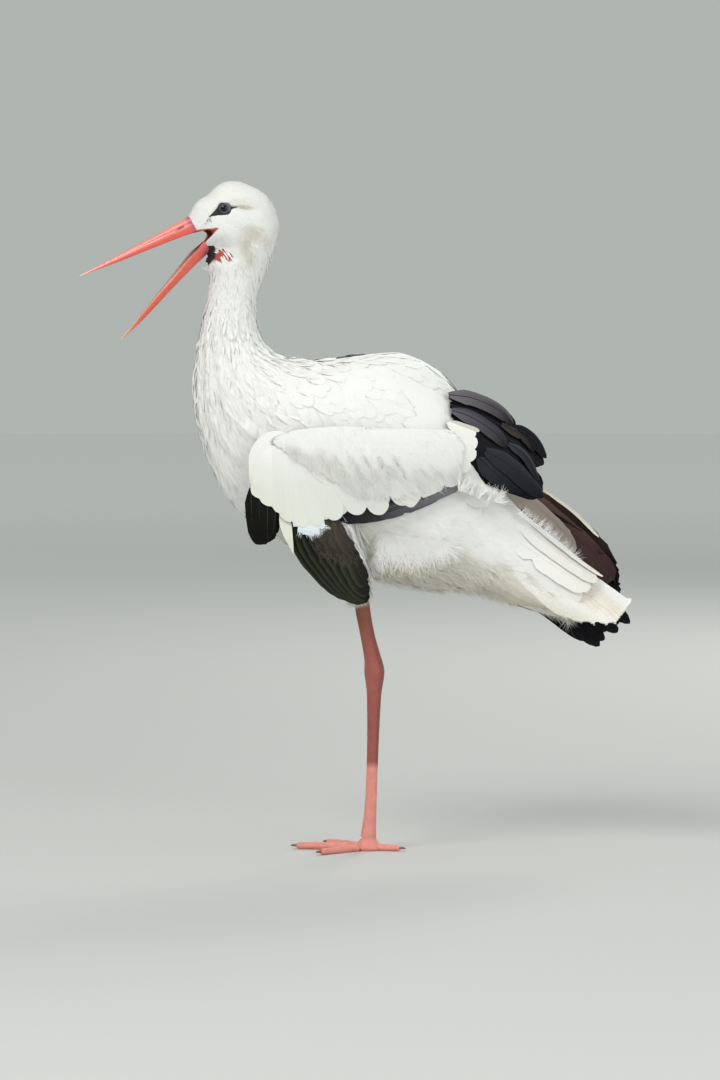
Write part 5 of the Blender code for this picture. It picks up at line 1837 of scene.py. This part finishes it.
def leg_stuff():
    """Scaly skin: cells edged with fine furrows."""
    made, tree, main = shader("leg_scales", 0.46, Specular_IOR_Level=0.4)
    cells = tree.nodes.new("ShaderNodeTexVoronoi")
    cells.feature = "DISTANCE_TO_EDGE"
    cells.inputs["Scale"].default_value = 560.0
    link(tree, *placed(tree, (1.0, 1.0, 0.62)), cells, "Vector")
    furrow = tree.nodes.new("ShaderNodeMapRange")
    furrow.interpolation_type = "SMOOTHSTEP"
    furrow.inputs["From Max"].default_value = 0.13
    link(tree, cells, "Distance", furrow, 0)
    noise = noise_node(tree, 70.0, 4.0, *placed(tree))
    tone = math_node(tree, "MULTIPLY_ADD", noise.outputs[0], 0.5, 0.62)
    painted(tree, main, math_node(tree, "MULTIPLY_ADD", furrow.outputs[0], 0.12, tone))
    bumpy(tree, main, furrow, 0.5, 0.0004)
    return made


def toes_of(side):
    return [f"toe_{side}_{name}" for name in TOE_NAMES]


def toe_line(name, near):
    """Ends of a toe's middle line, the one nearest to a place first, and its radius."""
    middle, line, run, spread = line_through(corners_of(name))
    ends = [middle + line * run.min(), middle + line * run.max()]
    ends.sort(key=lambda end: np.linalg.norm(end - near))
    return *ends, np.median(spread)


def add_bead(made, place, radius):
    matrix = Matrix.Translation(Vector(place))
    bmesh.ops.create_icosphere(made, subdivisions=2, radius=radius, matrix=matrix)


def add_toe_joints(made, toes, stem):
    """Fills the cuts between the toes and the foot, swells the joints, and webs the front toes."""
    corners = corners_of(stem)
    hub = corners[np.argsort([toe_gap(toes, c) for c in corners])[:12]].mean(axis=0)
    lines = {name: toe_line(name, hub) for name in toes}
    base, top, thick = toe_line("tarsus_left" if "left" in stem else "tarsus_right", hub)
    for t in np.linspace(-0.04, 0.05, 7):
        add_bead(made, base + (top - base) * t, thick * 0.96)
    for start, end, radius in lines.values():
        for t in np.linspace(0, 1, 9):
            add_bead(made, hub + (start + (end - start) * 0.12 - hub) * t, radius * (1.20 - 0.15 * t))
        for t, swell in ((0.08, 1.10), (0.38, 1.16), (0.68, 1.12), (0.96, 0.98)):
            for off in (-0.035, 0.0, 0.035):
                add_bead(made, start + (end - start) * (t + off), radius * (swell - 2.0 * abs(off)))
    front = [lines[name] for name in toes if "hind" not in name]
    middle = max(front, key=lambda line: np.linalg.norm(line[1] - hub))
    for other in front:
        if other is middle:
            continue
        for u in np.linspace(0, 1, 9):
            for t in np.linspace(0, 0.24 * (1 - 0.55 * math.sin(math.pi * u)), 5):
                a = middle[0] + (middle[1] - middle[0]) * t
                b = other[0] + (other[1] - other[0]) * t * 1.25
                add_bead(made, a + (b - a) * u, 0.0019)


def toe_gap(toes, place):
    """How far a place is from all the toes together."""
    return sum(np.linalg.norm(corners_of(toe).mean(axis=0) - place) for toe in toes)


def make_leg(name, parts, stuff):
    """One smooth skin over the leg's solids, with raised scutes down its front and its toes."""
    made = gathered(parts)
    floor = min(v.co.z for v in made.verts)
    standing = floor < 0.01
    toes = [part for part in parts if part.startswith("toe_")]
    add_toe_joints(made, toes, "foot_left" if standing else parts[1])
    obj = remeshed(name, made, LEG_SWOLLEN, LEG_MESH, 5)
    points, normals = points_of(obj.data)
    x, y, z = points.T
    if standing:
        stem = ramp(z, FOOT_TOP, 0.032)
        front = ramp(-normals[:, 0], 0.2, 0.8) * stem + ramp(normals[:, 2], 0.3, 0.8) * (1 - stem)
        run = np.where(z > FOOT_TOP, z, np.hypot(x + 0.005, y))
    else:
        run = x - 0.6 * z
        front = ramp(normals[:, 2], 0.2, 0.8)
    pitch = np.where((z < FOOT_TOP) | (z > 0.2), 0.0032, 0.0042)
    saw = (run / pitch) % 1.0
    scute = 0.00042 * (np.minimum(saw / 0.25, 1) - np.maximum(0, (saw - 0.8) / 0.2)) - 0.0002
    points = points + normals * (scute * front)[:, None]
    high = ramp(z, 0.33, 0.36)
    if standing:
        points[:, 2] = np.maximum(points[:, 2], floor + FLOOR_GAP)
        high = ramp(z, 0.108, 0.122)
    colour = mix(np.broadcast_to(LEG_PINK, points.shape), LEG_RED, high)
    if standing:
        colour = mix(colour, LEG_KNEE, 0.5 * np.exp(-(((z - 0.235) / 0.022) ** 2)))
    # Painted shade on the upper leg's rear-facing side.
    colour = mix(colour, LEG_PAINTED_SHADE, 0.45 * ramp(normals[:, 0], 0.2, 0.9) * high)
    if standing:
        colour = mix(colour, LEG_BROWN, 0.85 * ramp(z, 0.26, 0.34))
    finish_remeshed(obj.data, points, colour, stuff)
    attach(obj, "root")
    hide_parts(*parts)


def make_claws():
    """Short blunt nails, curved down, one for each claw of the solids."""
    stuff = horn("claw_horn", 0.38, 300.0, 0.25, 0.15, 0.0002)
    for side in ("left", "right"):
        for toe in TOE_NAMES:
            middle, line, run, spread = line_through(corners_of(f"claw_{side}_{toe}"))
            if spread[run > 0].mean() > spread[run < 0].mean():
                line, run = -line, -run
            start, end = middle + line * run.min(), middle + line * run.max()
            radius = spread.max()
            near_up = np.array((0, 0, 1.0)) if abs(line[2]) < 0.8 else np.array((-1.0, 0, 0))
            up = unit(near_up - line * (near_up @ line))
            across = np.cross(line, up)
            rows, around = 14, 20
            spin = np.arange(around) / around * math.tau
            points, colours = [], []
            for t in np.linspace(-0.12, 1, rows):
                k = max(t, 0)
                centre = start + (end - start) * t
                size = radius * (0.92 - 0.20 * k) * math.sqrt(max(1 - k**3, 0.004))
                high = np.where(np.cos(spin) > 0, 1.0, 0.62)
                sideways, upward = np.sin(spin) * size, np.cos(spin) * size * high
                points.append(centre + across * sideways[:, None] + up * upward[:, None])
                colours.append(np.tile(mix(NAIL_BASE, NAIL_TIP, k), (around, 1)))
            points = np.array(points)
            if side == "left":
                points[..., 2] = np.maximum(points[..., 2], FLOOR_GAP)
            tinted(f"nail_{side}_{toe}", stuff, points, grid_faces(rows, around, closed=True),
                   colours, (f"claw_{side}_{toe}",))


# ---- Room, light and camera ----

VIEW_FROM = Vector((-0.016, -5.5, 0.77))
VIEW_TO = Vector((-0.016, 0.0, 0.412))
FRAME_HEIGHT = 1.4256
FLOOR_RADIUS = 14.0
WALL = (0.43, 0.46, 0.44, 1)
LIGHTS_AIM = (0, 0, 0.5)
LIGHTS = [  # name, place, size, watts, colour
    ("key", (-1.9, -2.4, 3.4), 2.0, 90, (1.0, 0.985, 0.95)),
    ("fill", (2.4, -3.6, 1.6), 3.2, 66, (0.96, 0.98, 1.0)),
    ("rim", (1.6, 3.0, 2.6), 1.8, 52, (1.0, 0.98, 0.94)),
]


def aimed(name, data, place, target):
    obj = shown(name, data)
    obj.location = place
    obj.rotation_euler = (Vector(target) - Vector(place)).to_track_quat("-Z", "Y").to_euler()
    return obj


def make_camera():
    data = bpy.data.cameras.new("camera")
    data.sensor_fit = "VERTICAL"
    data.sensor_height = 36.0
    data.lens = 36.0 * (VIEW_FROM - VIEW_TO).length / FRAME_HEIGHT
    data.clip_end = 60
    bpy.context.scene.camera = aimed("camera", data, VIEW_FROM, VIEW_TO)


def make_lights():
    for name, place, size, watts, colour in LIGHTS:
        data = bpy.data.lights.new(name, "AREA")
        data.shape = "DISK"
        data.size = size
        data.energy = watts
        data.color = colour
        aimed(name, data, place, LIGHTS_AIM)


def make_room():
    mesh = bpy.data.meshes.new("floor")
    made = bmesh.new()
    bmesh.ops.create_circle(made, cap_ends=True, segments=96, radius=FLOOR_RADIUS)
    made.to_mesh(mesh)
    made.free()
    floor = shown("floor", mesh)
    made, tree, main = shader("floor_paint_and_painted_light", 0.85)
    noise = tree.nodes.new("ShaderNodeTexNoise")
    noise.inputs["Scale"].default_value = 5.0
    where = tree.nodes.new("ShaderNodeTexCoord")
    span = tree.nodes.new("ShaderNodeVectorMath")
    span.operation = "LENGTH"
    link(tree, where, "Object", span, 0)
    # Painted light: the floor grows paler away from the middle, standing in for light that falls off there.
    far = tree.nodes.new("ShaderNodeMapRange")
    far.interpolation_type = "SMOOTHSTEP"
    far.inputs["From Min"].default_value = 1.0
    far.inputs["From Max"].default_value = 9.0
    far.inputs["To Min"].default_value = 0.58
    far.inputs["To Max"].default_value = 0.94
    link(tree, span, "Value", far, 0)
    level = math_node(tree, "MULTIPLY_ADD", noise.outputs[0], 0.02, far.outputs[0])
    tree.links.new(level, main.inputs["Base Color"])
    mesh.materials.append(made)
    world = bpy.data.worlds.new("room")
    world.use_nodes = True
    world.node_tree.nodes["Background"].inputs["Color"].default_value = WALL
    world.node_tree.nodes["Background"].inputs["Strength"].default_value = 1.0
    bpy.context.scene.world = world
    bpy.context.scene.view_settings.view_transform = "Standard"


make_camera()
make_room()
make_lights()
make_skin()
make_body_coats()
make_scapulars()
make_tail()
make_underparts()
make_flank_plumes()
make_thighs()
make_left_coverts()
make_left_flight()
make_left_tertials()
make_right_wing()
make_eyes()
make_bill()
make_mouth_web(make_mouth())
make_face_details()
scales = leg_stuff()
make_leg("leg_left", ["shank_left", "tarsus_left", "foot_left"] + toes_of("left"), scales)
make_leg("leg_right", ["shank_right", "tarsus_right"] + toes_of("right"), scales)
make_claws()
